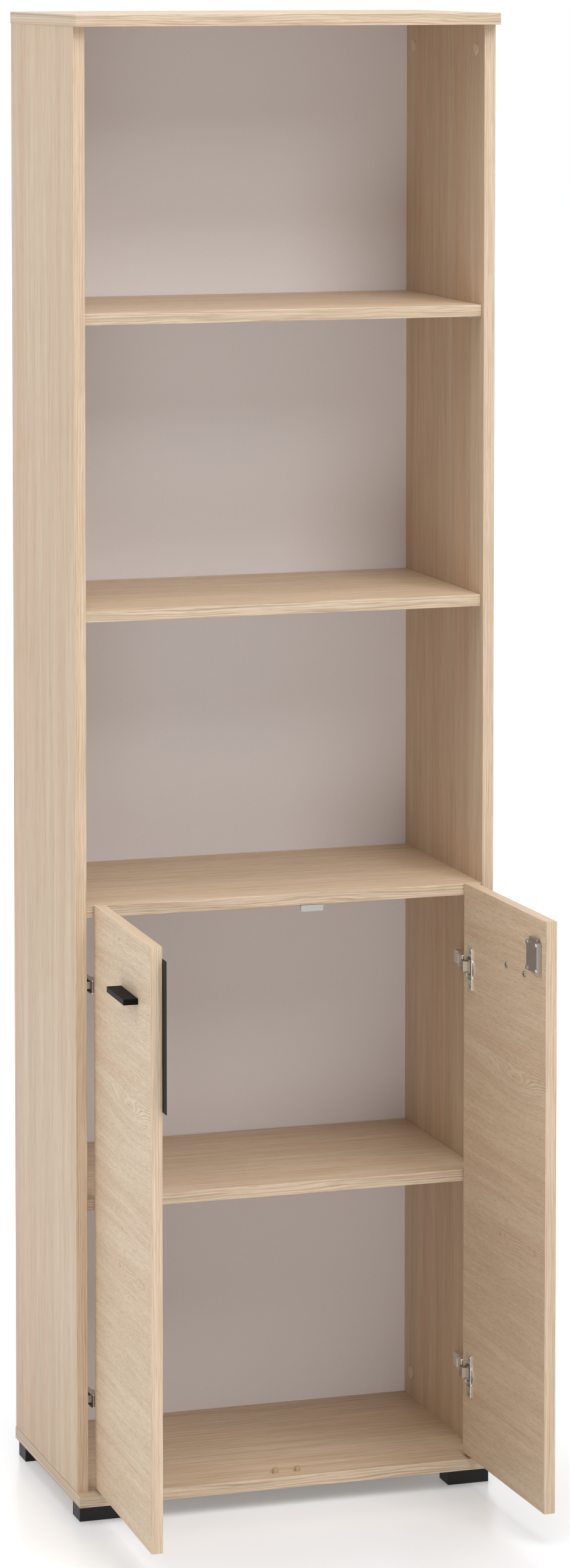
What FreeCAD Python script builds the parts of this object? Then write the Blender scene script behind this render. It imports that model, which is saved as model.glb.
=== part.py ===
import FreeCAD, Part
import math
import os

# Free-standing bookcase: three open bays over a two-door cabinet, in faced chipboard.
# X runs across the width, Y from the front to the back, Z up from the floor.
# The origin is on the floor, at mid width, in the plane of the side panels' front edges.
# The doors are drawn shut, then swung open to their resting place.

# Carcass
width = 600.0                 # outside of one side panel to outside of the other
side_depth = 322.0
board = 16.0                  # every chipboard panel
band = 0.8                    # edge band on a visible edge
band_round = 0.5              # rounding of a band's long outer corners
back_thickness = 3.0
back_inset = 1.5              # back panel's edge inside the carcass outline
open_bay_height = 384.5       # clear height of each of the three open bays
cabinet_bay_height = 386.0    # clear height of each of the two bays behind the doors
lid_side_overhang = 1.0       # top and bottom panel past the side panels
shelf_recess = 8.5            # loose upper shelves behind the front edge
cabinet_shelf_recess = 7.5
fixed_shelf_recess = 3.0      # clears the open doors' hinge edges
shelf_end_play = 0.5          # loose shelf to each side panel
shelf_back_play = 1.0         # loose shelf to the back panel

# Feet
foot_height = 25.0
foot_length = 60.0
foot_depth = 36.0
foot_side_inset = 4.0
foot_front_inset = 1.0
foot_round = 1.0
foot_screw_spacing = 34.0
foot_screw_radius = 2.0
foot_screw_head_radius = 4.0
foot_screw_head_height = 3.0
foot_counterbore_depth = 15.0
foot_screw_reach = 11.0       # into the bottom panel

# Fasteners
fit = 0.05                    # radial play of a shank or plug in its bore
pin_radius = 2.5
pin_reach = 9.0               # into the side panel
pin_length = 8.0              # out of the side panel
pin_front = 37.0
pin_back_edge = 37.0          # rear pins, from the back edge
cam_radius = 7.5
cam_depth = 12.5
cam_drilling = 34.0           # cam centre from the board's end
cam_front = 34.0
cam_back_edge = 28.0
cam_bolt_radius = 3.0
cam_bolt_head_radius = 3.5
cam_bolt_head_length = 3.0
cam_bolt_thread_radius = 2.5
cam_bolt_reach = 10.0
cam_channel_radius = 4.0
cap_radius = 8.5
cap_thickness = 1.0
dowel_radius = 4.0
dowel_long_end = 22.0         # in the board's end
dowel_short_end = 9.0         # in the other board's face
dowel_offset = 32.0           # dowel from the nearer cam bolt
nail_radius = 0.7
nail_head_radius = 2.0
nail_head_height = 0.6
nail_length = 17.0            # past the back panel
nail_pitch = 210.0
nail_end_margin = 45.0
pilot_clearance = 0.02
drive_width = 0.9             # slot or cross in a screw head
drive_depth = 0.8
cross_reach = 0.6             # share of the head's radius

# Doors
door_gap = 2.0                # door's inner face to the carcass front
door_side_reveal = 1.5
door_centre_gap = 3.0
door_bottom_reveal = 4.5      # above the bottom panel
door_top_lap = 1.5            # above the fixed shelf's top face
open_angle = 91.5             # where the doors stand at rest
left = -1.0
right = 1.0

# Cup hinges, measured in from the door's hinge edge and off its inner face
hinge_from_door_end = 115.0
cup_edge_margin = 5.05        # board left between the cup and the hinge edge
cup_radius = 17.45
cup_wall = 0.8
cup_bore_depth = 12.2
cup_depth = 12.0
cup_rim = 1.0
flange_thickness = 1.2
flange_height = 60.0
flange_width = 19.0
flange_shift = 3.0            # flange's middle past the cup's centre
flange_corner = 1.5
lip_width = 1.3               # rolled edge along the flange's far side
lip_height = 2.8              # off the door's face
lip_margin = 1.0              # short of the flange's ends
cup_screw_spacing = 48.0
cup_screw_shift = 6.0
cup_screw_radius = 1.75
cup_screw_head_radius = 3.6
cup_screw_head_height = 1.6
cup_screw_reach = 10.0
cup_pin_in = 10.6             # cup pin from the hinge edge
cup_pin_down = 3.6            # cup pin below the inner face
hinge_pin_radius = 1.25
hinge_pin_play = 0.05
arm_pin_off_side = 13.2       # arm pin off the side panel's inner face
arm_pin_back = 19.2           # arm pin behind the front edge
link_swing = 52.3             # link's turn while the door opens to its resting place
link_thickness = 1.8
link_half_height = 7.0
link_eye_radius = 2.2
link_waist = 1.2
link_waist_radius = 16.0
elbow_past_edge = 3.35        # the link's first elbow, past the hinge edge of the open door
elbow_past_edge_off = 3.3
elbow_over_cup = 8.4          # the second elbow, in from the edge
elbow_over_cup_off = 4.2
arm_half_height = 9.0
arm_wall = 1.2
arm_nose_radius = 3.4
arm_rear = 68.0
plate_screw_y = 37.0
plate_screw_spacing = 32.0
plate_wing_width = 12.0
plate_wing_height = 46.0
plate_thickness = 2.0
saddle_front = 29.0
saddle_rear = 64.0
saddle_half_height = 5.0
arm_screw_y = 48.0
arm_screw_radius = 2.0
arm_screw_head_radius = 3.5
arm_screw_head_height = 1.8
arm_screw_reach = 7.0
plate_screw_radius = 2.5
plate_screw_head_radius = 4.0
plate_screw_head_height = 1.8
plate_screw_reach = 11.0

# Handles
handle_below_top = 84.0
handle_centre = 190.5         # from the hinge edge
handle_length = 88.0
handle_projection = 20.0
handle_thickness = 8.0
handle_round = 0.8
handle_screw_spacing = 64.0
handle_screw_radius = 2.0
handle_screw_head_radius = 4.3
handle_screw_head_height = 2.0
handle_screw_reach = 9.0

# Overlap strip on the left door
strip_below_top = 16.7
strip_length = 201.0
strip_thickness = 1.6
strip_beyond = 15.7           # past the door's free edge
strip_lap = 14.0              # on the door
strip_relief = 0.3            # its overhang, set back from the other door
strip_screw_radius = 1.5
strip_screw_head_radius = 3.0
strip_screw_reach = 10.0
strip_screw_margin = 20.0

# Rim lock on the right door
lock_from_free_edge = 14.5
lock_width = 37.0
lock_height = 41.0
lock_thickness = 7.5
lock_wall = 1.0
lock_below_top = 31.5
bolt_width = 25.4
bolt_thickness = 2.8
bolt_off_door = 2.8           # bolt's near face off the door's inner face
bolt_out = 4.9                # bolt past the case when unlocked
bolt_travel = 6.0
bolt_play = 0.2
crank_radius = bolt_travel / math.sqrt(2.0)
crank_pin_radius = 1.5
crank_pin_play = 0.3
lock_screw_inset = 3.2
lock_screw_radius = 1.5
lock_screw_head_radius = 3.0
lock_screw_head_height = 1.5
lock_screw_reach = 10.0
cylinder_radius = 8.9
cylinder_flange_radius = 11.0
cylinder_flange_thickness = 1.6
plug_radius = 6.0
plug_proud = 0.4              # past the flange
keyway_width = 1.4
keyway_height = 7.0
keyway_depth = 10.0

# Strike plate and door stops
strike_width = 32.0
strike_centre = 36.0          # right of mid width
strike_drop = 8.5
strike_thickness = 1.2
strike_forward = 0.9          # its hanging leg in front of the shelf's edge
strike_depth = 17.0
strike_screw_spacing = 20.0
strike_screw_radius = 1.5
strike_screw_head_radius = 2.8
strike_screw_head_height = 1.4
strike_corner = 2.0
strike_screw_reach = 9.0
stop_spacing = 32.0
stop_radius = 4.0
stop_height = 7.0
stop_front_gap = 1.0          # shut door to the stop
stop_stem_radius = 2.45
stop_stem_length = 8.0
stop_hole_radius = 1.2

# Places that follow from the sizes above
half = width / 2.0
inner = half - board
bottom_under = foot_height
bottom_top = bottom_under + board
fixed_under = bottom_top + 2.0 * cabinet_bay_height + board
fixed_top = fixed_under + board
top_under = fixed_top + 3.0 * open_bay_height + 2.0 * board
top_top = top_under + board
cabinet_shelf_under = bottom_top + cabinet_bay_height
middle_shelf_under = fixed_top + open_bay_height
upper_shelf_under = middle_shelf_under + board + open_bay_height
back_face = side_depth + back_thickness
lid_front = -(board + door_gap)
pin_rows = [pin_front, side_depth - pin_back_edge]
cam_rows = [cam_front, side_depth - cam_back_edge]
dowel_rows = [cam_rows[0] + dowel_offset, cam_rows[1] - dowel_offset]
loose_shelf_unders = [upper_shelf_under, middle_shelf_under, cabinet_shelf_under]
board_middle = half - board / 2.0

door_bottom = bottom_top + door_bottom_reveal
door_top = fixed_top + door_top_lap
door_width = half - door_side_reveal - door_centre_gap / 2.0
door_outer = -(door_gap + board)
door_inner = -door_gap
hinge_heights = [door_bottom + hinge_from_door_end, door_top - hinge_from_door_end]
cup_centre = cup_edge_margin + cup_radius
handle_height = door_top - handle_below_top
lock_top = door_top - lock_below_top
lock_middle = lock_top - lock_height / 2.0
lock_centre = door_width - lock_from_free_edge - lock_width / 2.0
fixed_middle = fixed_under + board / 2.0


def point(x, y, z):
    """A vector, in millimetres."""
    return FreeCAD.Vector(x, y, z)


def box(x0, x1, y0, y1, z0, z1):
    """A box between two corners, given in either order along X."""
    low = min(x0, x1)
    return Part.makeBox(abs(x1 - x0), y1 - y0, z1 - z0, point(low, y0, z0))


def rod(radius, start, end):
    """A solid cylinder from one point to another."""
    axis = end - start
    return Part.makeCylinder(radius, axis.Length, start, axis)


def group(solids):
    """Several separate solids that share one node."""
    return Part.makeCompound(solids)


def drilled(body, tools):
    """The body with every tool cut out of it."""
    return body.cut(tools)


def joined(solids):
    """One solid made of touching or overlapping ones."""
    return solids[0].fuse(solids[1:]).removeSplitter()


def rounded_box(corner_a, corner_b, radius, keep):
    """A box whose edges are rounded where keep(edge middle) is true."""
    body = box(corner_a.x, corner_b.x, corner_a.y, corner_b.y, corner_a.z, corner_b.z)
    edges = []
    for edge in body.Edges:
        if keep(edge.CenterOfMass):
            edges.append(edge)
    return body.makeFillet(radius, edges)


def band_along_x(x0, x1, y_outer, y_inner, z0, z1):
    """Edge band that runs along X, with its two long outer corners rounded."""
    low = point(x0, min(y_outer, y_inner), z0)
    high = point(x1, max(y_outer, y_inner), z1)

    def on_outer_face(middle):
        long_edge = abs(middle.x - (x0 + x1) / 2.0) < 0.01
        return long_edge and abs(middle.y - y_outer) < 0.01

    return rounded_box(low, high, band_round, on_outer_face)


def band_along_z(x0, x1, y_outer, y_inner, z0, z1):
    """Upright edge band, with its two long outer corners rounded."""
    low = point(min(x0, x1), min(y_outer, y_inner), z0)
    high = point(max(x0, x1), max(y_outer, y_inner), z1)

    def on_outer_face(middle):
        long_edge = abs(middle.z - (z0 + z1) / 2.0) < 0.01
        return long_edge and abs(middle.y - y_outer) < 0.01

    return rounded_box(low, high, band_round, on_outer_face)


def band_along_y(x_outer, x_inner, y0, y1, z0, z1):
    """Edge band on an end face, with its two long outer corners rounded."""
    low = point(min(x_outer, x_inner), y0, z0)
    high = point(max(x_outer, x_inner), y1, z1)

    def on_outer_face(middle):
        long_edge = abs(middle.y - (y0 + y1) / 2.0) < 0.01
        return long_edge and abs(middle.x - x_outer) < 0.01

    return rounded_box(low, high, band_round, on_outer_face)


# Fasteners of the carcass

def shelf_pin(side, y, shelf_under, radius, reach):
    """Steel peg that carries a loose shelf; it lies just under the shelf."""
    z = shelf_under - pin_radius
    return rod(radius, point(side * (inner + reach), y, z), point(side * (inner - pin_length), y, z))


def shelf_pins(shelf_under):
    """The four pins of one loose shelf."""
    pins = []
    for side in (left, right):
        for y in pin_rows:
            pins.append(shelf_pin(side, y, shelf_under, pin_radius, pin_reach))
    return pins


def upright_cam_bolt(side, y, face, up, play):
    """Cam bolt between a side panel's end and the lid at that end; up is 1 or -1."""
    x = side * board_middle
    head_end = face - up * (cam_drilling - cam_bolt_head_length)
    shank = rod(cam_bolt_radius + play, point(x, y, face), point(x, y, head_end))
    thread = rod(cam_bolt_thread_radius + play, point(x, y, face), point(x, y, face + up * cam_bolt_reach))
    head = rod(cam_bolt_head_radius + play, point(x, y, head_end), point(x, y, face - up * cam_drilling))
    return joined([shank, thread, head])


def level_cam_bolt(side, y, play):
    """Cam bolt between a side panel's face and the fixed shelf's end."""
    face = side * inner
    head_start = side * (inner - cam_drilling + cam_bolt_head_length)
    shank = rod(cam_bolt_radius + play, point(face, y, fixed_middle), point(head_start, y, fixed_middle))
    thread_end = point(side * (inner + cam_bolt_reach), y, fixed_middle)
    thread = rod(cam_bolt_thread_radius + play, point(face, y, fixed_middle), thread_end)
    head_end = point(side * (inner - cam_drilling), y, fixed_middle)
    head = rod(cam_bolt_head_radius + play, point(head_start, y, fixed_middle), head_end)
    return joined([shank, thread, head])


def lid_joints():
    """Face height and direction of the joint at each end of a side panel."""
    return [(top_under, 1.0), (bottom_top, -1.0)]


def side_cam(side, y, face, up):
    """Cam lock sunk in a side panel's inner face, open towards its bolt."""
    z = face - up * cam_drilling
    body = rod(cam_radius - fit, point(side * inner, y, z), point(side * (inner + cam_depth), y, z))
    slot_half = cam_channel_radius
    z_low = min(z - up * slot_half, z + up * cam_radius)
    z_high = max(z - up * slot_half, z + up * cam_radius)
    mouth = box(side * (inner + 3.0), side * (half + 1.0), y - slot_half, y + slot_half, z_low, z_high)
    return body.cut(mouth)


def shelf_cam(side, y):
    """Cam lock sunk in the fixed shelf's underside, open towards its bolt."""
    x = side * (inner - cam_drilling)
    body = rod(cam_radius - fit, point(x, y, fixed_under), point(x, y, fixed_under + cam_depth))
    x_near = x - side * cam_channel_radius
    x_far = x + side * cam_radius
    mouth = box(x_near, x_far, y - cam_channel_radius, y + cam_channel_radius, fixed_under + 3.0, fixed_top)
    return body.cut(mouth)


def cam_cap(side, y, face, up):
    """Cover cap pressed on a side panel's cam lock."""
    z = face - up * cam_drilling
    cap = rod(cap_radius, point(side * inner, y, z), point(side * (inner - cap_thickness), y, z))
    rim = []
    for edge in cap.Edges:
        if abs(edge.CenterOfMass.x - side * (inner - cap_thickness)) < 0.01:
            rim.append(edge)
    return cap.makeFillet(cap_thickness * 0.6, rim)


def upright_dowel(side, y, face, up, play):
    """Wooden dowel between a side panel's end and the lid at that end."""
    x = side * board_middle
    start = point(x, y, face - up * (dowel_long_end + play))
    return rod(dowel_radius - fit + play, start, point(x, y, face + up * (dowel_short_end + play)))


def level_dowel(side, y, play):
    """Wooden dowel between a side panel's face and the fixed shelf's end."""
    start = point(side * (inner - dowel_long_end - play), y, fixed_middle)
    end = point(side * (inner + dowel_short_end + play), y, fixed_middle)
    return rod(dowel_radius - fit + play, start, end)


def nail_places():
    """Where the back panel is nailed, as X and Z pairs."""
    places = []
    low = bottom_top + nail_end_margin
    high = top_under - nail_end_margin
    steps = int(round((high - low) / nail_pitch))
    for step in range(steps + 1):
        z = low + (high - low) * step / steps
        places.append((-board_middle, z))
        places.append((board_middle, z))
    for z in (bottom_under + board / 2.0, fixed_middle, top_under + board / 2.0):
        for share in (-0.6, -0.2, 0.2, 0.6):
            places.append((share * inner, z))
    return places


def back_nail(x, z, play):
    """One flat-headed nail through the back panel, its head driven flush."""
    head_under = back_face - nail_head_height
    shank = rod(nail_radius + play, point(x, head_under, z), point(x, side_depth - nail_length, z))
    head = rod(nail_head_radius + play, point(x, head_under, z), point(x, back_face, z))
    return joined([shank, head])


# Carcass boards

def side_panel(side):
    """Side panel, without its front band, with every hole it is drilled with."""
    core = box(side * half, side * inner, band, side_depth, bottom_top, top_under)
    tools = []
    for shelf_under in loose_shelf_unders:
        for y in pin_rows:
            tools.append(shelf_pin(side, y, shelf_under, pin_radius, pin_reach))
    for face, up in lid_joints():
        for y in cam_rows:
            z = face - up * cam_drilling
            pocket_end = point(side * (inner + cam_depth), y, z)
            tools.append(rod(cam_radius, point(side * inner, y, z), pocket_end))
            channel_end = point(side * board_middle, y, z)
            tools.append(rod(cam_channel_radius, point(side * board_middle, y, face), channel_end))
        for y in dowel_rows:
            tools.append(upright_dowel(side, y, face, up, fit))
    for y in cam_rows:
        tools.append(level_cam_bolt(side, y, fit))
    for y in dowel_rows:
        tools.append(level_dowel(side, y, fit))
    for z in hinge_heights:
        for offset in (-plate_screw_spacing / 2.0, plate_screw_spacing / 2.0):
            tools.append(plate_screw(side, z + offset, pilot_clearance))
    for x, z in nail_places():
        if x * side > inner:
            tools.append(back_nail(x, z, pilot_clearance))
    return drilled(core, tools)


def lid_core(z0, z1):
    """Top or bottom panel without its bands."""
    reach = half + lid_side_overhang - band
    return box(-reach, reach, lid_front + band, side_depth, z0, z1)


def lid_bands(z0, z1):
    """Front band and two end bands of the top or bottom panel."""
    reach = half + lid_side_overhang
    front = band_along_x(-reach, reach, lid_front, lid_front + band, z0, z1)
    ends = []
    for side in (left, right):
        end = band_along_y(side * reach, side * (reach - band), lid_front + band, side_depth, z0, z1)
        ends.append(end)
    return [front] + ends


def lid_tools(face, up):
    """Holes in the lid's face for the side panels' bolts and dowels, and for the nails."""
    tools = []
    for side in (left, right):
        for y in cam_rows:
            tools.append(upright_cam_bolt(side, y, face, up, pilot_clearance))
        for y in dowel_rows:
            tools.append(upright_dowel(side, y, face, up, fit))
    for x, z in nail_places():
        if abs(z - (face + up * board / 2.0)) < 0.1:
            tools.append(back_nail(x, z, pilot_clearance))
    return tools


def top_panel():
    """Top panel, bored from below."""
    return drilled(lid_core(top_under, top_top), lid_tools(top_under, 1.0))


def bottom_panel():
    """Bottom panel, bored from above for the sides and stops and from below for the feet."""
    tools = lid_tools(bottom_top, -1.0)
    for x, y in foot_screw_places():
        tools.append(rod(foot_screw_radius + pilot_clearance, point(x, y, bottom_under),
                         point(x, y, bottom_under + foot_screw_reach)))
    for x in stop_places():
        y = stop_middle()
        tools.append(rod(stop_stem_radius + fit, point(x, y, bottom_top),
                         point(x, y, bottom_top - stop_stem_length)))
    return drilled(lid_core(bottom_under, bottom_top), tools)


def fixed_shelf():
    """Shelf above the doors, held by cam locks and dowels."""
    core = box(-inner, inner, fixed_shelf_recess + band, side_depth, fixed_under, fixed_top)
    tools = []
    for side in (left, right):
        for y in cam_rows:
            x = side * (inner - cam_drilling)
            tools.append(rod(cam_radius, point(x, y, fixed_under), point(x, y, fixed_under + cam_depth)))
            tools.append(rod(cam_channel_radius, point(side * inner, y, fixed_middle),
                             point(x, y, fixed_middle)))
        for y in dowel_rows:
            tools.append(level_dowel(side, y, fit))
    for x, z in nail_places():
        if abs(z - fixed_middle) < 0.1 and abs(x) < inner:
            tools.append(back_nail(x, z, pilot_clearance))
    for screw in strike_screws(pilot_clearance):
        tools.append(screw)
    return drilled(core, tools)


def loose_shelf(under, recess):
    """Loose shelf without its band."""
    reach = inner - shelf_end_play
    return box(-reach, reach, recess + band, side_depth - shelf_back_play, under, under + board)


def loose_shelf_band(under, recess):
    """Front band of a loose shelf."""
    reach = inner - shelf_end_play
    return band_along_x(-reach, reach, recess, recess + band, under, under + board)


def back_panel():
    """Thin back, nailed on from behind."""
    reach = half - back_inset
    core = box(-reach, reach, side_depth, back_face, bottom_under + back_inset, top_top - back_inset)
    tools = []
    for x, z in nail_places():
        tools.append(back_nail(x, z, pilot_clearance))
    return drilled(core, tools)


# Feet

def foot_corners():
    """Outer front corner of each foot block, as side and Y."""
    corners = []
    for y in (foot_front_inset, side_depth - foot_depth):
        for side in (left, right):
            corners.append((side, y))
    return corners


def foot_screw_places():
    """Axis of every foot screw, as X and Y pairs."""
    places = []
    for side, y in foot_corners():
        middle = side * (half - foot_side_inset - foot_length / 2.0)
        for offset in (-foot_screw_spacing / 2.0, foot_screw_spacing / 2.0):
            places.append((middle + offset, y + foot_depth / 2.0))
    return places


def foot(side, y):
    """One foot block, screwed on from below through two counterbores."""
    x_outer = side * (half - foot_side_inset)
    x_inner = side * (half - foot_side_inset - foot_length)
    low = point(min(x_outer, x_inner), y, 0.0)
    high = point(max(x_outer, x_inner), y + foot_depth, foot_height)

    def upright_or_lowest(middle):
        return middle.z < foot_height - 0.01

    block = rounded_box(low, high, foot_round, upright_or_lowest)
    tools = []
    for x, screw_y in foot_screw_places():
        if low.x < x < high.x and low.y < screw_y < high.y:
            tools.append(rod(foot_screw_radius + pilot_clearance, point(x, screw_y, 0.0),
                             point(x, screw_y, foot_height)))
            tools.append(rod(foot_screw_head_radius + fit, point(x, screw_y, 0.0),
                             point(x, screw_y, foot_counterbore_depth)))
    return drilled(block, tools)


def foot_screw(x, y):
    """Wood screw, head down in the foot's counterbore."""
    head_top = foot_counterbore_depth
    head = rod(foot_screw_head_radius, point(x, y, head_top - foot_screw_head_height), point(x, y, head_top))
    shank = rod(foot_screw_radius, point(x, y, head_top), point(x, y, foot_height + foot_screw_reach))
    return joined([head, shank])


# Strike plate and door stops on the carcass

def strike_places():
    """X of the strike plate's two screws."""
    return [strike_centre - strike_screw_spacing / 2.0, strike_centre + strike_screw_spacing / 2.0]


def strike_plate():
    """Angle plate under the fixed shelf; the bolt rises behind its hanging leg."""
    x0 = strike_centre - strike_width / 2.0
    x1 = strike_centre + strike_width / 2.0
    back = -strike_forward + strike_depth
    flat = box(x0, x1, -strike_forward, back, fixed_under - strike_thickness, fixed_under)
    leg_back = -strike_forward + strike_thickness
    leg = box(x0, x1, -strike_forward, leg_back, fixed_under - strike_drop, fixed_under)
    corners = []
    for edge in leg.Edges:
        middle = edge.CenterOfMass
        if middle.z < fixed_under - strike_drop + 0.01 and abs(middle.x - strike_centre) > 1.0:
            corners.append(edge)
    leg = leg.makeFillet(strike_corner, corners)
    plate = joined([flat, leg])
    return drilled(plate, strike_screws(pilot_clearance))


def strike_screws(play):
    """Two screws that hold the strike plate up against the fixed shelf."""
    screws = []
    y = -strike_forward + strike_depth * 0.65
    for x in strike_places():
        seat = fixed_under - strike_thickness
        shank = rod(strike_screw_radius + play, point(x, y, seat), point(x, y, fixed_under + strike_screw_reach))
        head = rod(strike_screw_head_radius, point(x, y, seat), point(x, y, seat - strike_screw_head_height))
        screws.append(joined([shank, head]))
    return screws


def stop_places():
    """X of the two door stops."""
    return [-stop_spacing / 2.0, stop_spacing / 2.0]


def stop_middle():
    """Y of the door stops' axis."""
    return door_inner + stop_front_gap + stop_radius


def door_stop(x):
    """Peg that a shut door would touch, on a stem pressed in the bottom panel."""
    y = stop_middle()
    peg = rod(stop_radius, point(x, y, bottom_top), point(x, y, bottom_top + stop_height))
    rim = []
    for edge in peg.Edges:
        if abs(edge.CenterOfMass.z - bottom_top - stop_height) < 0.01:
            rim.append(edge)
    peg = peg.makeFillet(stop_radius * 0.2, rim)
    stem = rod(stop_stem_radius, point(x, y, bottom_top), point(x, y, bottom_top - stop_stem_length))
    hole = rod(stop_hole_radius, point(x, y, bottom_top + 1.0), point(x, y, bottom_top + stop_height))
    return joined([peg, stem]).cut(hole)


# Hinge parts that stay on the side panels.  side is left or right.

def arm_pin_place(side):
    """X and Y of the fixed hinge axis."""
    return side * (inner - arm_pin_off_side), arm_pin_back


def plate_screw(side, z, play):
    """Screw that holds a mounting plate on the side panel."""
    seat = side * (inner - plate_thickness)
    tip = side * (inner + plate_screw_reach)
    shank = rod(plate_screw_radius + play, point(seat, plate_screw_y, z), point(tip, plate_screw_y, z))
    head_end = side * (inner - plate_thickness - plate_screw_head_height)
    head = rod(plate_screw_head_radius, point(seat, plate_screw_y, z), point(head_end, plate_screw_y, z))
    return joined([shank, head])


def arm_seat_x(side):
    """X of the saddle's top, which carries the arm's web."""
    x, y = arm_pin_place(side)
    return x - side * (arm_nose_radius - arm_wall)


def mounting_plate(side, z):
    """Winged plate with a saddle that carries the hinge arm."""
    face = side * inner
    wing_low = plate_screw_y - plate_wing_width / 2.0
    wing_high = plate_screw_y + plate_wing_width / 2.0
    wing_half = plate_wing_height / 2.0
    wing = box(face, face - side * plate_thickness, wing_low, wing_high, z - wing_half, z + wing_half)
    corners = []
    for edge in wing.Edges:
        middle = edge.CenterOfMass
        across = abs(middle.x - (face - side * plate_thickness / 2.0)) < 0.01
        if across:
            corners.append(edge)
    wing = wing.makeFillet(plate_wing_width * 0.35, corners)
    saddle = box(face, arm_seat_x(side), saddle_front, saddle_rear,
                 z - saddle_half_height, z + saddle_half_height)
    plate = joined([wing, saddle])
    tools = [arm_screw(side, z, pilot_clearance)]
    for offset in (-plate_screw_spacing / 2.0, plate_screw_spacing / 2.0):
        tools.append(plate_screw(side, z + offset, pilot_clearance))
    return drilled(plate, tools)


def hinge_arm(side, z):
    """Channel-shaped arm: a web on the saddle and two cheeks that hold the arm pin."""
    x, y = arm_pin_place(side)
    seat = arm_seat_x(side)
    top = seat - side * arm_wall
    root = x + side * arm_nose_radius
    web_front = y + arm_nose_radius
    web = box(seat, top, web_front, arm_rear, z - arm_half_height, z + arm_half_height)
    pieces = [web]
    for sign in (-1.0, 1.0):
        z_out = z + sign * arm_half_height
        z_in = z + sign * (arm_half_height - arm_wall)
        z_low = min(z_out, z_in)
        z_high = max(z_out, z_in)
        pieces.append(box(root, top, y, arm_rear, z_low, z_high))
        pieces.append(rod(arm_nose_radius, point(x, y, z_low), point(x, y, z_high)))
    arm = joined(pieces)
    pin_hole = rod(hinge_pin_radius + pilot_clearance, point(x, y, z - arm_half_height),
                   point(x, y, z + arm_half_height))
    return drilled(arm, [pin_hole, arm_screw(side, z, pilot_clearance)])


def arm_screw(side, z, play):
    """Screw through the arm's web into the saddle."""
    seat = arm_seat_x(side) - side * arm_wall
    shank = rod(arm_screw_radius + play, point(seat, arm_screw_y, z),
                point(seat + side * (arm_wall + arm_screw_reach), arm_screw_y, z))
    head = rod(arm_screw_head_radius, point(seat, arm_screw_y, z),
               point(seat - side * arm_screw_head_height, arm_screw_y, z))
    return joined([shank, head])


def side_drives(side, y, z, top, head_radius):
    """Cross sunk in a screw head that faces along X, with its top at the given X."""
    reach = head_radius * cross_reach
    slim = drive_width / 2.0
    floor = top + side * drive_depth
    upright = box(top, floor, y - slim, y + slim, z - reach, z + reach)
    level = box(top, floor, y - reach, y + reach, z - slim, z + slim)
    return [upright, level]


def arm_pin(side, z):
    """Pin held by the arm's cheeks; the link turns on it."""
    x, y = arm_pin_place(side)
    return rod(hinge_pin_radius, point(x, y, z - arm_half_height), point(x, y, z + arm_half_height))


# Swing of the doors, drawn for the left door and mirrored for the right one.
# A place on a shut left door is given in from its hinge edge and in from its outer face.

def shut_place(along, through, z):
    """World place of a point of the shut left door."""
    return point(-half + door_side_reveal + along, door_outer + through, z)


def turned(place, centre, angle):
    """A point turned about an upright axis."""
    cosine = math.cos(math.radians(angle))
    sine = math.sin(math.radians(angle))
    x = place.x - centre.x
    y = place.y - centre.y
    return point(centre.x + cosine * x - sine * y, centre.y + sine * x + cosine * y, place.z)


arm_axis = point(-(inner - arm_pin_off_side), arm_pin_back, 0.0)
cup_axis_shut = shut_place(cup_pin_in, board - cup_pin_down, 0.0)
cup_axis_open = turned(cup_axis_shut, arm_axis, link_swing)


def opened(shape):
    """A shape of the shut left door, carried to where the open door stands."""
    upright = point(0.0, 0.0, 1.0)
    moved = shape.copy()
    moved.rotate(arm_axis, upright, link_swing)
    moved.rotate(cup_axis_open, upright, -(open_angle + link_swing))
    return moved


def open_place(along, through):
    """World place of a point of the open left door, at height zero."""
    riding = turned(shut_place(along, through, 0.0), arm_axis, link_swing)
    return turned(riding, cup_axis_open, -(open_angle + link_swing))


def mirrored(shape):
    """The same shape on the other side of the bookcase."""
    return shape.mirror(point(0.0, 0.0, 0.0), point(1.0, 0.0, 0.0))


def hinge_link(z):
    """Cranked link of a left hinge: from the arm pin, round the open door's edge, to the cup pin."""
    first = open_place(-elbow_past_edge, board + elbow_past_edge_off)
    second = open_place(elbow_over_cup, board + elbow_over_cup_off)
    stations = [arm_axis, first, second, cup_axis_open]
    low = z - link_half_height
    high = z + link_half_height
    pieces = []
    for start, end in zip(stations[:-1], stations[1:]):
        pieces.append(slab(start, end, low, high))
    for elbow in (first, second):
        pieces.append(rod(link_thickness / 2.0, point(elbow.x, elbow.y, low), point(elbow.x, elbow.y, high)))
    for eye in (arm_axis, cup_axis_open):
        pieces.append(rod(link_eye_radius, point(eye.x, eye.y, low), point(eye.x, eye.y, high)))
    tools = []
    for eye in (arm_axis, cup_axis_open):
        tools.append(rod(hinge_pin_radius + hinge_pin_play, point(eye.x, eye.y, low), point(eye.x, eye.y, high)))
    along = first - arm_axis
    across = point(-along.y, along.x, 0.0)
    across.normalize()
    waist = (arm_axis + first) * 0.5
    for sign in (-1.0, 1.0):
        height = z + sign * (link_half_height - link_waist + link_waist_radius)
        centre = point(waist.x, waist.y, height)
        tools.append(rod(link_waist_radius, centre - across * 5.0, centre + across * 5.0))
    return joined(pieces).cut(tools)


def slab(start, end, low, high):
    """Straight stretch of link plate between two places."""
    along = end - start
    across = point(-along.y, along.x, 0.0)
    across.normalize()
    offset = across * (link_thickness / 2.0)
    lift = point(0.0, 0.0, low)
    corners = [start - offset + lift, end - offset + lift, end + offset + lift, start + offset + lift]
    outline = Part.makePolygon(corners + [corners[0]])
    return Part.Face(outline).extrude(point(0.0, 0.0, high - low))


# Pieces of a shut left door

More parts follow.
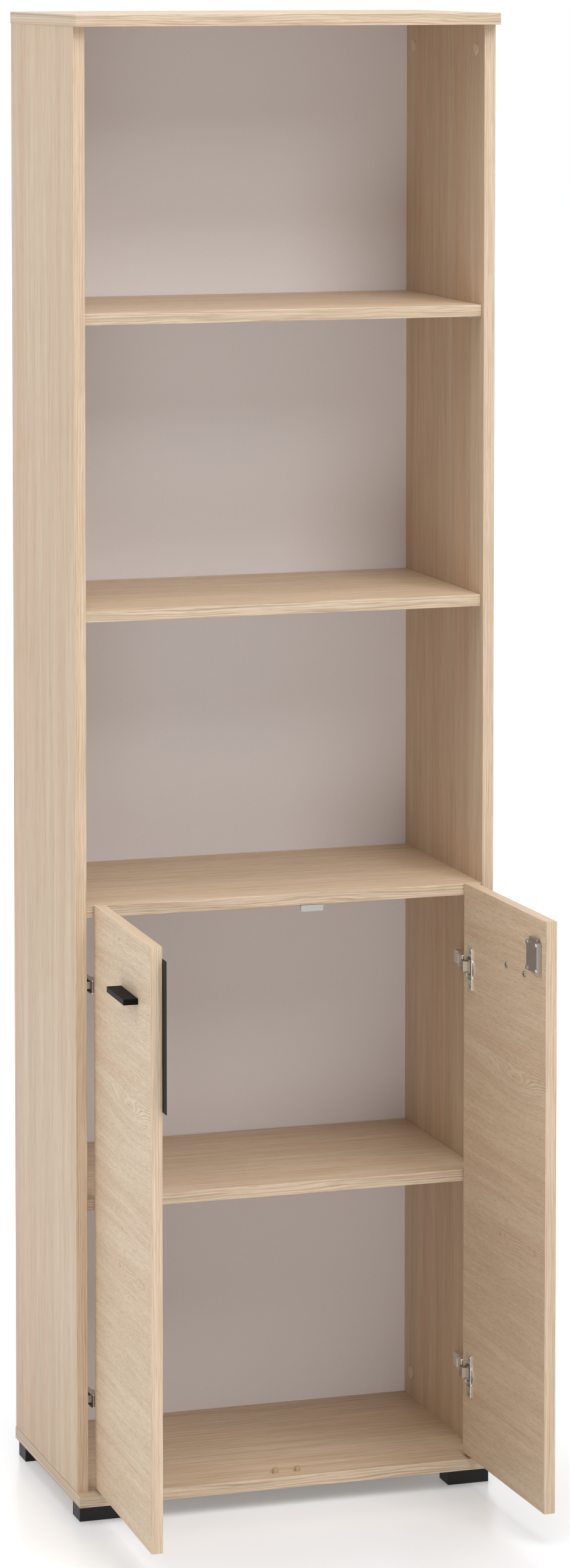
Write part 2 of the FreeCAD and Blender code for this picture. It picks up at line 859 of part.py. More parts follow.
def door_box(along0, along1, through0, through1, z0, z1):
    """Box given in the shut left door's own places."""
    low = shut_place(along0, through0, z0)
    high = shut_place(along1, through1, z1)
    return box(low.x, high.x, low.y, high.y, z0, z1)


def door_rod(radius, along, z, through0, through1):
    """Cylinder through the thickness of the shut left door."""
    return rod(radius, shut_place(along, through0, z), shut_place(along, through1, z))


def door_board(extra_tools):
    """Door board without its bands, bored for hinges and handle and for what extra_tools adds."""
    core = door_box(band, door_width - band, 0.0, board, door_bottom + band, door_top - band)
    tools = list(extra_tools)
    for z in hinge_heights:
        tools.append(door_rod(cup_radius + fit, cup_centre, z, board - cup_bore_depth, board))
        for screw in cup_screws(z, pilot_clearance):
            tools.append(screw)
    for along in handle_screw_places():
        tools.append(door_rod(handle_screw_radius + fit, along, handle_height, 0.0, board))
    return drilled(core, tools)


def door_bands():
    """Four bands round a shut left door: two long ones, and two between them."""
    near = shut_place(0.0, 0.0, 0.0)
    far = shut_place(door_width, board, 0.0)
    bands = []
    for outer, across in ((near.x, band), (far.x, -band)):
        low = point(min(outer, outer + across), near.y, door_bottom)
        high = point(max(outer, outer + across), far.y, door_top)

        def on_outer_face(middle):
            upright = abs(middle.z - (door_bottom + door_top) / 2.0) < 0.01
            return upright and abs(middle.x - outer) < 0.01

        bands.append(rounded_box(low, high, band_round, on_outer_face))
    for outer, across in ((door_bottom, band), (door_top, -band)):
        low = point(near.x + band, near.y, min(outer, outer + across))
        high = point(far.x - band, far.y, max(outer, outer + across))

        def on_end_face(middle):
            level = abs(middle.x - (near.x + far.x) / 2.0) < 0.01
            return level and abs(middle.z - outer) < 0.01

        bands.append(rounded_box(low, high, band_round, on_end_face))
    return bands


def hinge_cup(z):
    """Pressed cup with its flange and the two lugs that hold the cup pin."""
    floor = board - cup_depth
    top = board + flange_thickness
    shell = door_rod(cup_radius, cup_centre, z, floor, board)
    rim = door_rod(cup_radius + cup_rim, cup_centre, z, board, top)
    middle = cup_centre + flange_shift
    flange = door_box(middle - flange_width / 2.0, middle + flange_width / 2.0, board, top,
                      z - flange_height / 2.0, z + flange_height / 2.0)
    corners = []
    for edge in flange.Edges:
        if abs(edge.CenterOfMass.y - shut_place(0.0, board + flange_thickness / 2.0, 0.0).y) < 0.01:
            corners.append(edge)
    flange = flange.makeFillet(flange_corner, corners)
    body = joined([shell, rim, flange, cup_lip(z)])
    hollow = door_rod(cup_radius - cup_wall, cup_centre, z, floor + cup_wall, top)
    tools = [hollow]
    for screw in cup_screws(z, pilot_clearance):
        tools.append(screw)
    body = body.cut(tools)
    return joined([body] + cup_lugs(z))


def cup_lip(z):
    """Rolled edge that stiffens the cup's flange."""
    edge = cup_centre + flange_shift + flange_width / 2.0
    reach = flange_height / 2.0 - lip_margin
    low = shut_place(edge - lip_width, board, z - reach)
    high = shut_place(edge, board + lip_height, z + reach)

    def on_crest(middle):
        return abs(middle.y - high.y) < 0.01

    return rounded_box(low, high, lip_width * 0.4, on_crest)


def cup_lugs(z):
    """Two lugs inside the cup, one above and one below the link."""
    lugs = []
    inside = door_rod(cup_radius - cup_wall / 2.0, cup_centre, z, board - cup_depth + cup_wall / 2.0, board)
    pin_hole = rod(hinge_pin_radius + pilot_clearance, shut_place(cup_pin_in, board - cup_pin_down, z - 20.0),
                   shut_place(cup_pin_in, board - cup_pin_down, z + 20.0))
    for sign in (-1.0, 1.0):
        near = z + sign * (link_half_height + 0.6)
        far = z + sign * (link_half_height + 2.4)
        block = door_box(0.0, cup_pin_in + 2.6, 0.0, board - cup_pin_down + 2.4, min(near, far), max(near, far))
        lugs.append(block.common(inside).cut(pin_hole))
    return lugs


def cup_screws(z, play):
    """Two screws of one cup flange."""
    screws = []
    seat = board + flange_thickness
    along = cup_centre + cup_screw_shift
    for offset in (-cup_screw_spacing / 2.0, cup_screw_spacing / 2.0):
        shank = door_rod(cup_screw_radius + play, along, z + offset, seat, board - cup_screw_reach)
        head = door_rod(cup_screw_head_radius, along, z + offset, seat, seat + cup_screw_head_height)
        screws.append(joined([shank, head]))
    return screws


def cup_pin(z):
    """Pin held by the cup's lugs; the link turns on it."""
    reach = link_half_height + 2.4
    return rod(hinge_pin_radius, shut_place(cup_pin_in, board - cup_pin_down, z - reach),
               shut_place(cup_pin_in, board - cup_pin_down, z + reach))


def door_drives(along, z, top, head_radius, crossed):
    """Slot or cross sunk in a screw head whose top is given in from the door's outer face."""
    slim = drive_width / 2.0
    if not crossed:
        return [door_box(along - slim, along + slim, top - drive_depth, top, z - head_radius, z + head_radius)]
    reach = head_radius * cross_reach
    upright = door_box(along - slim, along + slim, top - drive_depth, top, z - reach, z + reach)
    level = door_box(along - reach, along + reach, top - drive_depth, top, z - slim, z + slim)
    return [upright, level]


def handle_screw_places():
    """How far in from the hinge edge the two handle screws stand."""
    return [handle_centre - handle_screw_spacing / 2.0, handle_centre + handle_screw_spacing / 2.0]


def handle():
    """Solid bar handle on the door's outer face."""
    low = shut_place(handle_centre - handle_length / 2.0, -handle_projection, 0.0)
    high = shut_place(handle_centre + handle_length / 2.0, 0.0, 0.0)
    z_low = handle_height - handle_thickness / 2.0
    z_high = handle_height + handle_thickness / 2.0

    def off_the_door(middle):
        return middle.y < high.y - 0.01

    bar = rounded_box(point(low.x, low.y, z_low), point(high.x, high.y, z_high), handle_round, off_the_door)
    tools = []
    for along in handle_screw_places():
        reach = -(handle_screw_reach + 1.0)
        tools.append(door_rod(handle_screw_radius + pilot_clearance, along, handle_height, 0.0, reach))
    return drilled(bar, tools)


def handle_screws():
    """Two screws from the inner face through the door into the handle."""
    screws = []
    for along in handle_screw_places():
        shank = door_rod(handle_screw_radius, along, handle_height, board, -handle_screw_reach)
        head = door_rod(handle_screw_head_radius, along, handle_height, board, board + handle_screw_head_height)
        rim = []
        for edge in head.Edges:
            outer_y = shut_place(0.0, board + handle_screw_head_height, 0.0).y
            if abs(edge.CenterOfMass.y - outer_y) < 0.01:
                rim.append(edge)
        head = head.makeFillet(handle_screw_head_height * 0.6, rim)
        screws.append(joined([shank, head]))
    return screws


def strip_screw_places():
    """Heights of the overlap strip's screws."""
    top = door_top - strip_below_top
    low = top - strip_length
    return [top - strip_screw_margin, (top + low) / 2.0, low + strip_screw_margin]


def strip_screw(z, play):
    """Countersunk screw of the overlap strip, flush with the strip."""
    along = door_width - strip_lap / 2.0
    top = board + strip_thickness
    shank = door_rod(strip_screw_radius + play, along, z, board, board - strip_screw_reach)
    cone = Part.makeCone(strip_screw_radius + play, strip_screw_head_radius + play, strip_thickness,
                         shut_place(along, board, z), point(0.0, 1.0, 0.0))
    return joined([shank, cone])


def overlap_strip():
    """Flat strip along the left door's free edge, which the right door shuts over."""
    top = door_top - strip_below_top
    strip = door_box(door_width - strip_lap, door_width + strip_beyond, board, board + strip_thickness,
                     top - strip_length, top)
    tools = [door_box(door_width + 0.5, door_width + strip_beyond + 1.0, 0.0, board + strip_relief,
                      door_bottom, door_top)]
    for z in strip_screw_places():
        tools.append(strip_screw(z, pilot_clearance))
    return drilled(strip, tools)


# Rim lock, drawn on a shut left door and mirrored with the right door

def lock_case():
    """Lid-shaped case with a slot in its top wall for the bolt."""
    near = lock_centre - lock_width / 2.0
    far = lock_centre + lock_width / 2.0
    bottom = lock_top - lock_height
    outer = board + lock_thickness
    body = door_box(near, far, board, outer, bottom, lock_top)
    rounded = []
    for edge in body.Edges:
        if abs(edge.CenterOfMass.y - shut_place(0.0, outer, 0.0).y) < 0.01:
            rounded.append(edge)
    body = body.makeFillet(lock_wall * 0.5, rounded)
    hollow = door_box(near + lock_wall, far - lock_wall, board, outer - lock_wall,
                      bottom + lock_wall, lock_top - lock_wall)
    bolt_low = board + bolt_off_door - bolt_play
    bolt_high = board + bolt_off_door + bolt_thickness + bolt_play
    slot = door_box(lock_centre - bolt_width / 2.0 - bolt_play, lock_centre + bolt_width / 2.0 + bolt_play,
                    bolt_low, bolt_high, lock_top - lock_wall - 1.0, lock_top + 1.0)
    tools = [hollow, slot]
    for screw in lock_screws(pilot_clearance):
        tools.append(screw)
    return drilled(body, tools)


def lock_bolt():
    """Flat bolt with the cross slot that the plug's crank pin works in."""
    near = lock_centre - bolt_width / 2.0
    far = lock_centre + bolt_width / 2.0
    low = board + bolt_off_door
    crank_height = lock_middle - bolt_travel / 2.0
    slot_half = crank_pin_radius + crank_pin_play
    foot_of_bolt = crank_height - slot_half - 3.0
    bolt = door_box(near, far, low, low + bolt_thickness, foot_of_bolt, lock_top + bolt_out)
    reach = crank_radius + crank_pin_radius + 1.0
    slot = door_box(lock_centre - reach, lock_centre + reach, low - 1.0, low + bolt_thickness + 1.0,
                    crank_height - slot_half, crank_height + slot_half)
    return bolt.cut(slot)


def lock_cylinder():
    """Cylinder through the door, with its flange on the outer face."""
    barrel = door_rod(cylinder_radius, lock_centre, lock_middle, 0.0, board)
    flange = door_rod(cylinder_flange_radius, lock_centre, lock_middle, -cylinder_flange_thickness, 0.0)
    rim = []
    for edge in flange.Edges:
        outer_y = shut_place(0.0, -cylinder_flange_thickness, 0.0).y
        if abs(edge.CenterOfMass.y - outer_y) < 0.01:
            rim.append(edge)
    flange = flange.makeFillet(cylinder_flange_thickness * 0.6, rim)
    bore = door_rod(plug_radius + hinge_pin_play, lock_centre, lock_middle, -cylinder_flange_thickness, board)
    return joined([barrel, flange]).cut(bore)


def lock_plug():
    """Turning plug with a keyway outside and a crank pin inside that lifts the bolt."""
    front = -cylinder_flange_thickness - plug_proud
    back = board + bolt_off_door - 2.0 * bolt_play
    plug = door_rod(plug_radius, lock_centre, lock_middle, front, back)
    offset = bolt_travel / 2.0
    pin = door_rod(crank_pin_radius, lock_centre + offset, lock_middle - offset, back,
                   board + bolt_off_door + bolt_thickness)
    keyway = door_box(lock_centre - keyway_width / 2.0, lock_centre + keyway_width / 2.0, front,
                      front + keyway_depth, lock_middle - keyway_height / 2.0, lock_middle + keyway_height / 2.0)
    return joined([plug, pin]).cut(keyway)


def lock_screw_places():
    """Where the lock's four screws stand: in from the hinge edge, and height."""
    places = []
    for side_offset in (-1.0, 1.0):
        along = lock_centre + side_offset * (lock_width / 2.0 - lock_screw_inset)
        for end_offset in (-1.0, 1.0):
            places.append((along, lock_middle + end_offset * (lock_height / 2.0 - lock_screw_inset)))
    return places


def lock_screws(play):
    """Four screws at the corners of the lock case."""
    screws = []
    seat = board + lock_thickness
    for along, z in lock_screw_places():
        shank = door_rod(lock_screw_radius + play, along, z, seat, board - lock_screw_reach)
        head = door_rod(lock_screw_head_radius, along, z, seat, seat + lock_screw_head_height)
        screws.append(joined([shank, head]))
    return screws


def left_door_tools():
    """Holes that only the left door has."""
    tools = []
    for z in strip_screw_places():
        tools.append(strip_screw(z, pilot_clearance))
    return tools


def right_door_tools():
    """Holes that only the right door has, drawn as on the left one."""
    tools = [door_rod(cylinder_radius + fit, lock_centre, lock_middle, 0.0, board)]
    for screw in lock_screws(pilot_clearance):
        tools.append(screw)
    return tools


# Nodes

def carcass_nodes():
    """Boards, bands and fasteners of the carcass."""
    nodes = {}
    nodes["left_side_panel"] = side_panel(left)
    nodes["right_side_panel"] = side_panel(right)
    nodes["top_panel"] = top_panel()
    nodes["bottom_panel"] = bottom_panel()
    nodes["fixed_shelf"] = fixed_shelf()
    nodes["upper_shelf"] = loose_shelf(upper_shelf_under, shelf_recess)
    nodes["middle_shelf"] = loose_shelf(middle_shelf_under, shelf_recess)
    nodes["cabinet_shelf"] = loose_shelf(cabinet_shelf_under, cabinet_shelf_recess)
    nodes["back_panel"] = back_panel()
    side_bands = []
    for side in (left, right):
        side_bands.append(band_along_z(side * half, side * inner, 0.0, band, bottom_top, top_under))
    nodes["side_edge_bands"] = group(side_bands)
    nodes["top_edge_bands"] = group(lid_bands(top_under, top_top))
    nodes["bottom_edge_bands"] = group(lid_bands(bottom_under, bottom_top))
    nodes["fixed_shelf_edge_band"] = band_along_x(-inner, inner, fixed_shelf_recess,
                                                  fixed_shelf_recess + band, fixed_under, fixed_top)
    shelf_bands = [
        loose_shelf_band(upper_shelf_under, shelf_recess),
        loose_shelf_band(middle_shelf_under, shelf_recess),
        loose_shelf_band(cabinet_shelf_under, cabinet_shelf_recess),
    ]
    nodes["loose_shelf_edge_bands"] = group(shelf_bands)
    nodes["upper_shelf_pins"] = group(shelf_pins(upper_shelf_under))
    nodes["middle_shelf_pins"] = group(shelf_pins(middle_shelf_under))
    nodes["cabinet_shelf_pins"] = group(shelf_pins(cabinet_shelf_under))
    nodes["back_nails"] = group([back_nail(x, z, 0.0) for x, z in nail_places()])
    return nodes


def joint_nodes():
    """Cam locks, bolts, caps and dowels of the board joints."""
    side_cams = []
    side_bolts = []
    caps = []
    dowels = []
    shelf_cams = []
    shelf_bolts = []
    for side in (left, right):
        for face, up in lid_joints():
            for y in cam_rows:
                side_cams.append(side_cam(side, y, face, up))
                side_bolts.append(upright_cam_bolt(side, y, face, up, 0.0))
                caps.append(cam_cap(side, y, face, up))
            for y in dowel_rows:
                dowels.append(upright_dowel(side, y, face, up, 0.0))
        for y in cam_rows:
            shelf_cams.append(shelf_cam(side, y))
            shelf_bolts.append(level_cam_bolt(side, y, 0.0))
        for y in dowel_rows:
            dowels.append(level_dowel(side, y, 0.0))
    nodes = {}
    nodes["side_cam_locks"] = group(side_cams)
    nodes["side_cam_bolts"] = group(side_bolts)
    nodes["cam_cover_caps"] = group(caps)
    nodes["shelf_cam_locks"] = group(shelf_cams)
    nodes["shelf_cam_bolts"] = group(shelf_bolts)
    nodes["wooden_dowels"] = group(dowels)
    return nodes


def base_nodes():
    """Feet, strike plate and door stops."""
    corners = foot_corners()
    nodes = {}
    nodes["front_feet"] = group([foot(side, y) for side, y in corners[:2]])
    nodes["rear_feet"] = group([foot(side, y) for side, y in corners[2:]])
    nodes["foot_screws"] = group([foot_screw(x, y) for x, y in foot_screw_places()])
    nodes["strike_plate"] = strike_plate()
    nodes["strike_screws"] = group(strike_screws(0.0))
    nodes["door_stops"] = group([door_stop(x) for x in stop_places()])
    return nodes


def fixed_hinge_nodes():
    """Mounting plates, arms and their pins and screws, on both side panels."""
    plates = []
    plate_screws = []
    arms = []
    arm_screws = []
    arm_pins = []
    plate_drives = []
    arm_drives = []
    for side in (left, right):
        plate_top = side * (inner - plate_thickness - plate_screw_head_height)
        arm_top = arm_seat_x(side) - side * (arm_wall + arm_screw_head_height)
        for z in hinge_heights:
            arm_drives = arm_drives + side_drives(side, arm_screw_y, z, arm_top, arm_screw_head_radius)
            plates.append(mounting_plate(side, z))
            arms.append(hinge_arm(side, z))
            arm_screws.append(arm_screw(side, z, 0.0))
            arm_pins.append(arm_pin(side, z))
            for offset in (-plate_screw_spacing / 2.0, plate_screw_spacing / 2.0):
                plate_screws.append(plate_screw(side, z + offset, 0.0))
                plate_drives = plate_drives + side_drives(side, plate_screw_y, z + offset, plate_top,
                                                          plate_screw_head_radius)
    nodes = {}
    nodes["hinge_mounting_plates"] = group(plates)
    nodes["hinge_plate_screws"] = drilled(group(plate_screws), plate_drives)
    nodes["hinge_arms"] = group(arms)
    nodes["hinge_arm_screws"] = drilled(group(arm_screws), arm_drives)
    nodes["hinge_arm_pins"] = group(arm_pins)
    return nodes


def shared_door_nodes(name, extra_tools):
    """Pieces that both doors have, drawn on a shut left door."""
    screws = []
    cup_drives = []
    for z in hinge_heights:
        screws = screws + cup_screws(z, 0.0)
        for offset in (-cup_screw_spacing / 2.0, cup_screw_spacing / 2.0):
            top = board + flange_thickness + cup_screw_head_height
            along = cup_centre + cup_screw_shift
            cup_drives = cup_drives + door_drives(along, z + offset, top, cup_screw_head_radius, True)
    handle_drives = []
    for along in handle_screw_places():
        top = board + handle_screw_head_height
        handle_drives = handle_drives + door_drives(along, handle_height, top, handle_screw_head_radius, True)
    nodes = {}
    nodes[name + "_door"] = door_board(extra_tools)
    nodes[name + "_door_edge_bands"] = group(door_bands())
    nodes[name + "_hinge_cups"] = group([hinge_cup(z) for z in hinge_heights])
    nodes[name + "_cup_screws"] = drilled(group(screws), cup_drives)
    nodes[name + "_cup_pins"] = group([cup_pin(z) for z in hinge_heights])
    nodes[name + "_handle"] = handle()
    nodes[name + "_handle_screws"] = drilled(group(handle_screws()), handle_drives)
    return nodes


def door_nodes():
    """Both doors with all they carry, standing open."""
    left_pieces = shared_door_nodes("left", left_door_tools())
    left_pieces["overlap_strip"] = overlap_strip()
    left_pieces["overlap_strip_screws"] = group([strip_screw(z, 0.0) for z in strip_screw_places()])
    right_pieces = shared_door_nodes("right", right_door_tools())
    right_pieces["lock_case"] = lock_case()
    right_pieces["lock_bolt"] = lock_bolt()
    right_pieces["lock_cylinder"] = lock_cylinder()
    right_pieces["lock_plug"] = lock_plug()
    lock_drives = []
    for along, z in lock_screw_places():
        top = board + lock_thickness + lock_screw_head_height
        lock_drives = lock_drives + door_drives(along, z, top, lock_screw_head_radius, False)
    right_pieces["lock_screws"] = drilled(group(lock_screws(0.0)), lock_drives)
    nodes = {}
    for name, shape in left_pieces.items():
        nodes[name] = opened(shape)
    for name, shape in right_pieces.items():
        nodes[name] = mirrored(opened(shape))
    links = group([hinge_link(z) for z in hinge_heights])
    nodes["left_hinge_links"] = links
    nodes["right_hinge_links"] = mirrored(links)
    return nodes


os.makedirs("parts", exist_ok=True)
all_nodes = {}
for maker in (carcass_nodes, joint_nodes, base_nodes, fixed_hinge_nodes, door_nodes):
    all_nodes.update(maker())
for name, shape in all_nodes.items():
    shape.exportStep("parts/" + name + ".step")
    print(name, len(shape.Solids), "solids, valid", shape.isValid())
print("left arm axis", round(arm_axis.x, 3), round(arm_axis.y, 3))
print("left cup axis", round(cup_axis_open.x, 3), round(cup_axis_open.y, 3))
print("hinge heights", hinge_heights, "lock axis along door", round(lock_centre, 3), "height", lock_middle)
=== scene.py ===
"""Looks of a tall oak-decor bookcase with cabinet doors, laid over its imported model."""

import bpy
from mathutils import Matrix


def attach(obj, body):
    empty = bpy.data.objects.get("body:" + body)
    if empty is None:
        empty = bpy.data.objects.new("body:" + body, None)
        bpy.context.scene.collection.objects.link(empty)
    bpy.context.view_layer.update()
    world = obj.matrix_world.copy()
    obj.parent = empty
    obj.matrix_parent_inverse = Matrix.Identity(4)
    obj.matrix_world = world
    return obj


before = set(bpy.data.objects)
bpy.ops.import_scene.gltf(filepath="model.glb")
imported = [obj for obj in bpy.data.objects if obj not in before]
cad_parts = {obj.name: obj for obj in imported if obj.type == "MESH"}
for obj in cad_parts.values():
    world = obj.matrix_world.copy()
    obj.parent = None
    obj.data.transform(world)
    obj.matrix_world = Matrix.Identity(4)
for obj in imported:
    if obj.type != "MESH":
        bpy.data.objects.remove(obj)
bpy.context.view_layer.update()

import logging
import math
from abc import ABC, abstractmethod
from dataclasses import dataclass
from enum import Enum
from functools import partial
from typing import Any, Callable

import bpy
from mathutils import Vector

logging.basicConfig(level=logging.INFO, format="%(message)s")
log = logging.getLogger("bookcase")

Colour = tuple[float, float, float, float]
Point = tuple[float, float, float]
Names = tuple[str, ...]
Socket = bpy.types.NodeSocket
Adder = Callable[..., Socket]

WHITE: Colour = (1.0, 1.0, 1.0, 1.0)
NOUGHT: Point = (0.0, 0.0, 0.0)
MILLIMETRES_IN_METRE = 1000.0
FLAT_REACH = 1.0e6  # a reach so long that its direction does not count
WAVE_PITCH = math.pi / 10.0  # how often a wave texture of scale one repeats
IMAGE_HEIGHT = 2576.0  # in pixels
LEVEL_VIEW = 90.0  # the tilt in degrees of a camera that looks level

# The sRGB curve: straight up to its toe, and a power from there on.
FULL_BYTE = 255.0
SRGB_TOE = 0.04045
SRGB_TOE_SLOPE = 12.92
SRGB_OFFSET = 0.055
SRGB_SCALE = 1.055
SRGB_POWER = 2.4

# A Mix node has sockets of the same name for each kind of value, so these go by number.
MIX_SHARE = 0
NUMBER_UNDER, NUMBER_OVER = 2, 3
COLOUR_UNDER, COLOUR_OVER, COLOUR_MIXED = 6, 7, 2


class Grain(Enum):
    """Which way the printed grain of a board runs, which way lies across it, and which way through."""

    UPRIGHT = ("Z", "Y", "X")
    ACROSS_WIDTH = ("X", "Y", "Z")
    ACROSS_DOOR = ("Y", "Z", "X")
    BAND_UPRIGHT = ("Z", "X", "Y")
    BAND_WIDTH = ("X", "Z", "Y")


def linear(hex_colour: str) -> Colour:
    """Turns an sRGB hex colour into the linear colour that shaders use.

    Args:
        hex_colour: Six hex digits after a hash sign.

    Returns:
        Red, green, blue and an alpha of one.
    """
    parts = []
    for byte in bytes.fromhex(hex_colour[1:]):
        value = byte / FULL_BYTE
        if value <= SRGB_TOE:
            parts.append(value / SRGB_TOE_SLOPE)
        else:
            parts.append(((value + SRGB_OFFSET) / SRGB_SCALE) ** SRGB_POWER)
    return (parts[0], parts[1], parts[2], 1.0)


def add_node(tree: bpy.types.NodeTree, kind: str, inputs: dict[int | str, Any] | None = None,
             output: int | str = 0, **settings: Any) -> Socket | None:
    """Adds one shader node with its settings, values and links.

    Args:
        tree: Node tree that takes the node.
        kind: Blender's name for the kind of node, without its first word.
        inputs: Sockets by name or number, each with a value or the socket that feeds it.
        output: Which of the node's outputs to give back.
        settings: Properties of the node.

    Returns:
        The chosen output, or nothing for a node that has none.
    """
    node = tree.nodes.new("ShaderNode" + kind)
    for name, value in settings.items():
        setattr(node, name, value)
    for name, value in (inputs or {}).items():
        if isinstance(value, Socket):
            tree.links.new(value, node.inputs[name])
        else:
            node.inputs[name].default_value = value
    return node.outputs[output] if node.outputs else None


def new_material(name: str) -> tuple[bpy.types.Material, Adder]:
    """Makes an empty node material.

    Args:
        name: Name of the finish.

    Returns:
        The material, and add_node for its tree.
    """
    material = bpy.data.materials.new(name)
    material.use_nodes = True
    material.node_tree.nodes.clear()
    return material, partial(add_node, material.node_tree)


@dataclass(frozen=True)
class Span:
    """The two values of a pattern between which its mark grows from none to full."""

    low: float
    high: float


@dataclass(frozen=True)
class Eye:
    """A place that the growth lines bow round, in millimetres along and across the grain.

    The swell is how far the lines bow. The reaches say how far that is felt, to the low and the high
    side, along the grain and across it.
    """

    along: float
    across: float
    swell: float
    low_along: float
    high_along: float
    low_across: float
    high_across: float


@dataclass(frozen=True)
class OakDecor:
    """Melamine-faced chipboard: light oak printed on paper, pressed with fine pores under a matt resin.

    The eye gets an even sand colour with soft wide stripes, thin brown growth lines that come and go,
    and short dark pores along them. The soft sheen breaks a little at each pore. Lengths are in
    millimetres.
    """

    name: str
    grain: Grain
    pale: str = "#d7c2a8"
    tan: str = "#cbaf92"
    rose: str = "#d2ae92"
    dark: str = "#8f7048"
    # Soft tan stripes, and rose stripes that are rose_widening times as wide.
    stripe_length: float = 700.0
    stripe_width: float = 20.0
    stripe_span: Span = Span(0.34, 0.66)
    stripe_strength: float = 0.6
    rose_length: float = 900.0
    rose_widening: float = 1.3
    rose_span: Span = Span(0.50, 0.70)
    rose_strength: float = 0.35
    # Growth lines. Their span is in pitches from the pale wood, and they come and go in patches.
    line_pitch: float = 2.6
    line_span: Span = Span(0.22, 0.46)
    line_strength: float = 0.35
    line_faintest: float = 0.15
    patch_length: float = 110.0
    patch_width: float = 9.0
    patch_span: Span = Span(0.36, 0.64)
    # Dark streaks.
    streak_length: float = 140.0
    streak_width: float = 1.6
    streak_span: Span = Span(0.45, 0.70)
    streak_strength: float = 0.25
    # A real pore is about 0.3 mm wide, and is drawn three times as wide, so that it still shows.
    pore_length: float = 14.0
    pore_width: float = 0.9
    pore_span: Span = Span(0.52, 0.68)
    pore_strength: float = 0.25
    pore_depth: float = 0.12
    pore_bump: float = 0.4
    # How far the lines sway over a board, and how far they wobble within a few centimetres.
    sway: float = 12.0
    sway_length: float = 520.0
    sway_width: float = 150.0
    wobble: float = 1.6
    wobble_length: float = 26.0
    wobble_width: float = 8.0
    eyes: tuple[Eye, ...] = ()
    # How many layers of finer streaks lie over the first ones, and how much each layer counts.
    plain_detail: float = 1.0
    rich_detail: float = 2.0
    detail_share: float = 0.5
    # How fast the print changes from board to board, and where in the noise it starts.
    depth_in_metre: float = 0.9
    seed: float = 0.0
    # The resin's soft gloss, which is duller in a pore.
    resin_roughness: float = 0.44
    pore_roughness: float = 0.60
    ior: float = 1.46
    specular: float = 0.32

    def build(self) -> bpy.types.Material:
        """Builds the node material."""
        material, node = new_material(self.name)
        place = node("VectorMath", {0: node("TexCoord", output="Object"), "Scale": MILLIMETRES_IN_METRE},
                     operation="SCALE")
        along, across, through = (node("SeparateXYZ", {0: place}, output=axis) for axis in self.grain.value)
        # Each board lies at a depth of its own in the noise, so that no two boards are alike.
        depth = node("Math", {0: through, 1: self.depth_in_metre / MILLIMETRES_IN_METRE, 2: self.seed},
                     operation="MULTIPLY_ADD")
        board = node("CombineXYZ", {0: along, 1: across, 2: depth})
        ring = self._growth(node, board, across)
        rings = node("CombineXYZ", {0: along, 1: ring, 2: depth})

        # A growth line is thin and dark, half its pitch away from the pale wood between two lines.
        wave = node("Math", {0: ring, 1: self.line_pitch / 2.0}, operation="PINGPONG")
        line = node("MapRange", {"Value": wave, "From Min": self.line_span.low * self.line_pitch,
                                 "From Max": self.line_span.high * self.line_pitch})
        patches = self._streaks(node, rings, self.patch_length, self.patch_width, self.plain_detail)
        presence = node("MapRange", {
            "Value": patches, "From Min": self.patch_span.low, "From Max": self.patch_span.high,
            "To Min": self.line_faintest * self.line_strength, "To Max": self.line_strength})
        line_share = node("Math", {0: line, 1: presence}, operation="MULTIPLY")
        streaks = self._streaks(node, rings, self.streak_length, self.streak_width, self.rich_detail)
        streak_share = node("MapRange", {
            "Value": streaks, "From Min": self.streak_span.low, "From Max": self.streak_span.high,
            "To Max": self.streak_strength})
        pores = self._streaks(node, rings, self.pore_length, self.pore_width, self.plain_detail)
        pore = node("MapRange", {
            "Value": pores, "From Min": self.pore_span.low, "From Max": self.pore_span.high})
        pore_share = node("Math", {0: pore, 1: self.pore_strength}, operation="MULTIPLY")
        stripes = self._streaks(node, rings, self.stripe_length, self.stripe_width, self.rich_detail)
        stripe_share = node("MapRange", {
            "Value": stripes, "From Min": self.stripe_span.low, "From Max": self.stripe_span.high,
            "To Max": self.stripe_strength})
        rose_width = self.rose_widening * self.stripe_width
        roses = self._streaks(node, rings, self.rose_length, rose_width, self.plain_detail)
        rose_share = node("MapRange", {
            "Value": roses, "From Min": self.rose_span.low, "From Max": self.rose_span.high,
            "To Max": self.rose_strength})

        colour: Any = linear(self.pale)
        for share, over in ((stripe_share, self.tan), (rose_share, self.rose), (streak_share, self.dark),
                            (line_share, self.dark), (pore_share, self.dark)):
            colour = node("Mix", {MIX_SHARE: share, COLOUR_UNDER: colour, COLOUR_OVER: linear(over)},
                          output=COLOUR_MIXED, data_type="RGBA")
        height = node("Math", {0: 1.0, 1: pore}, operation="SUBTRACT")
        bump = node("Bump", {"Strength": self.pore_bump, "Distance": self.pore_depth / MILLIMETRES_IN_METRE,
                             "Height": height})
        rough = node("MapRange", {"Value": pore, "To Min": self.resin_roughness,
                                  "To Max": self.pore_roughness})
        shader = node("BsdfPrincipled", {"Base Color": colour, "Roughness": rough, "IOR": self.ior,
                                         "Specular IOR Level": self.specular, "Normal": bump})
        node("OutputMaterial", {"Surface": shader})
        return material

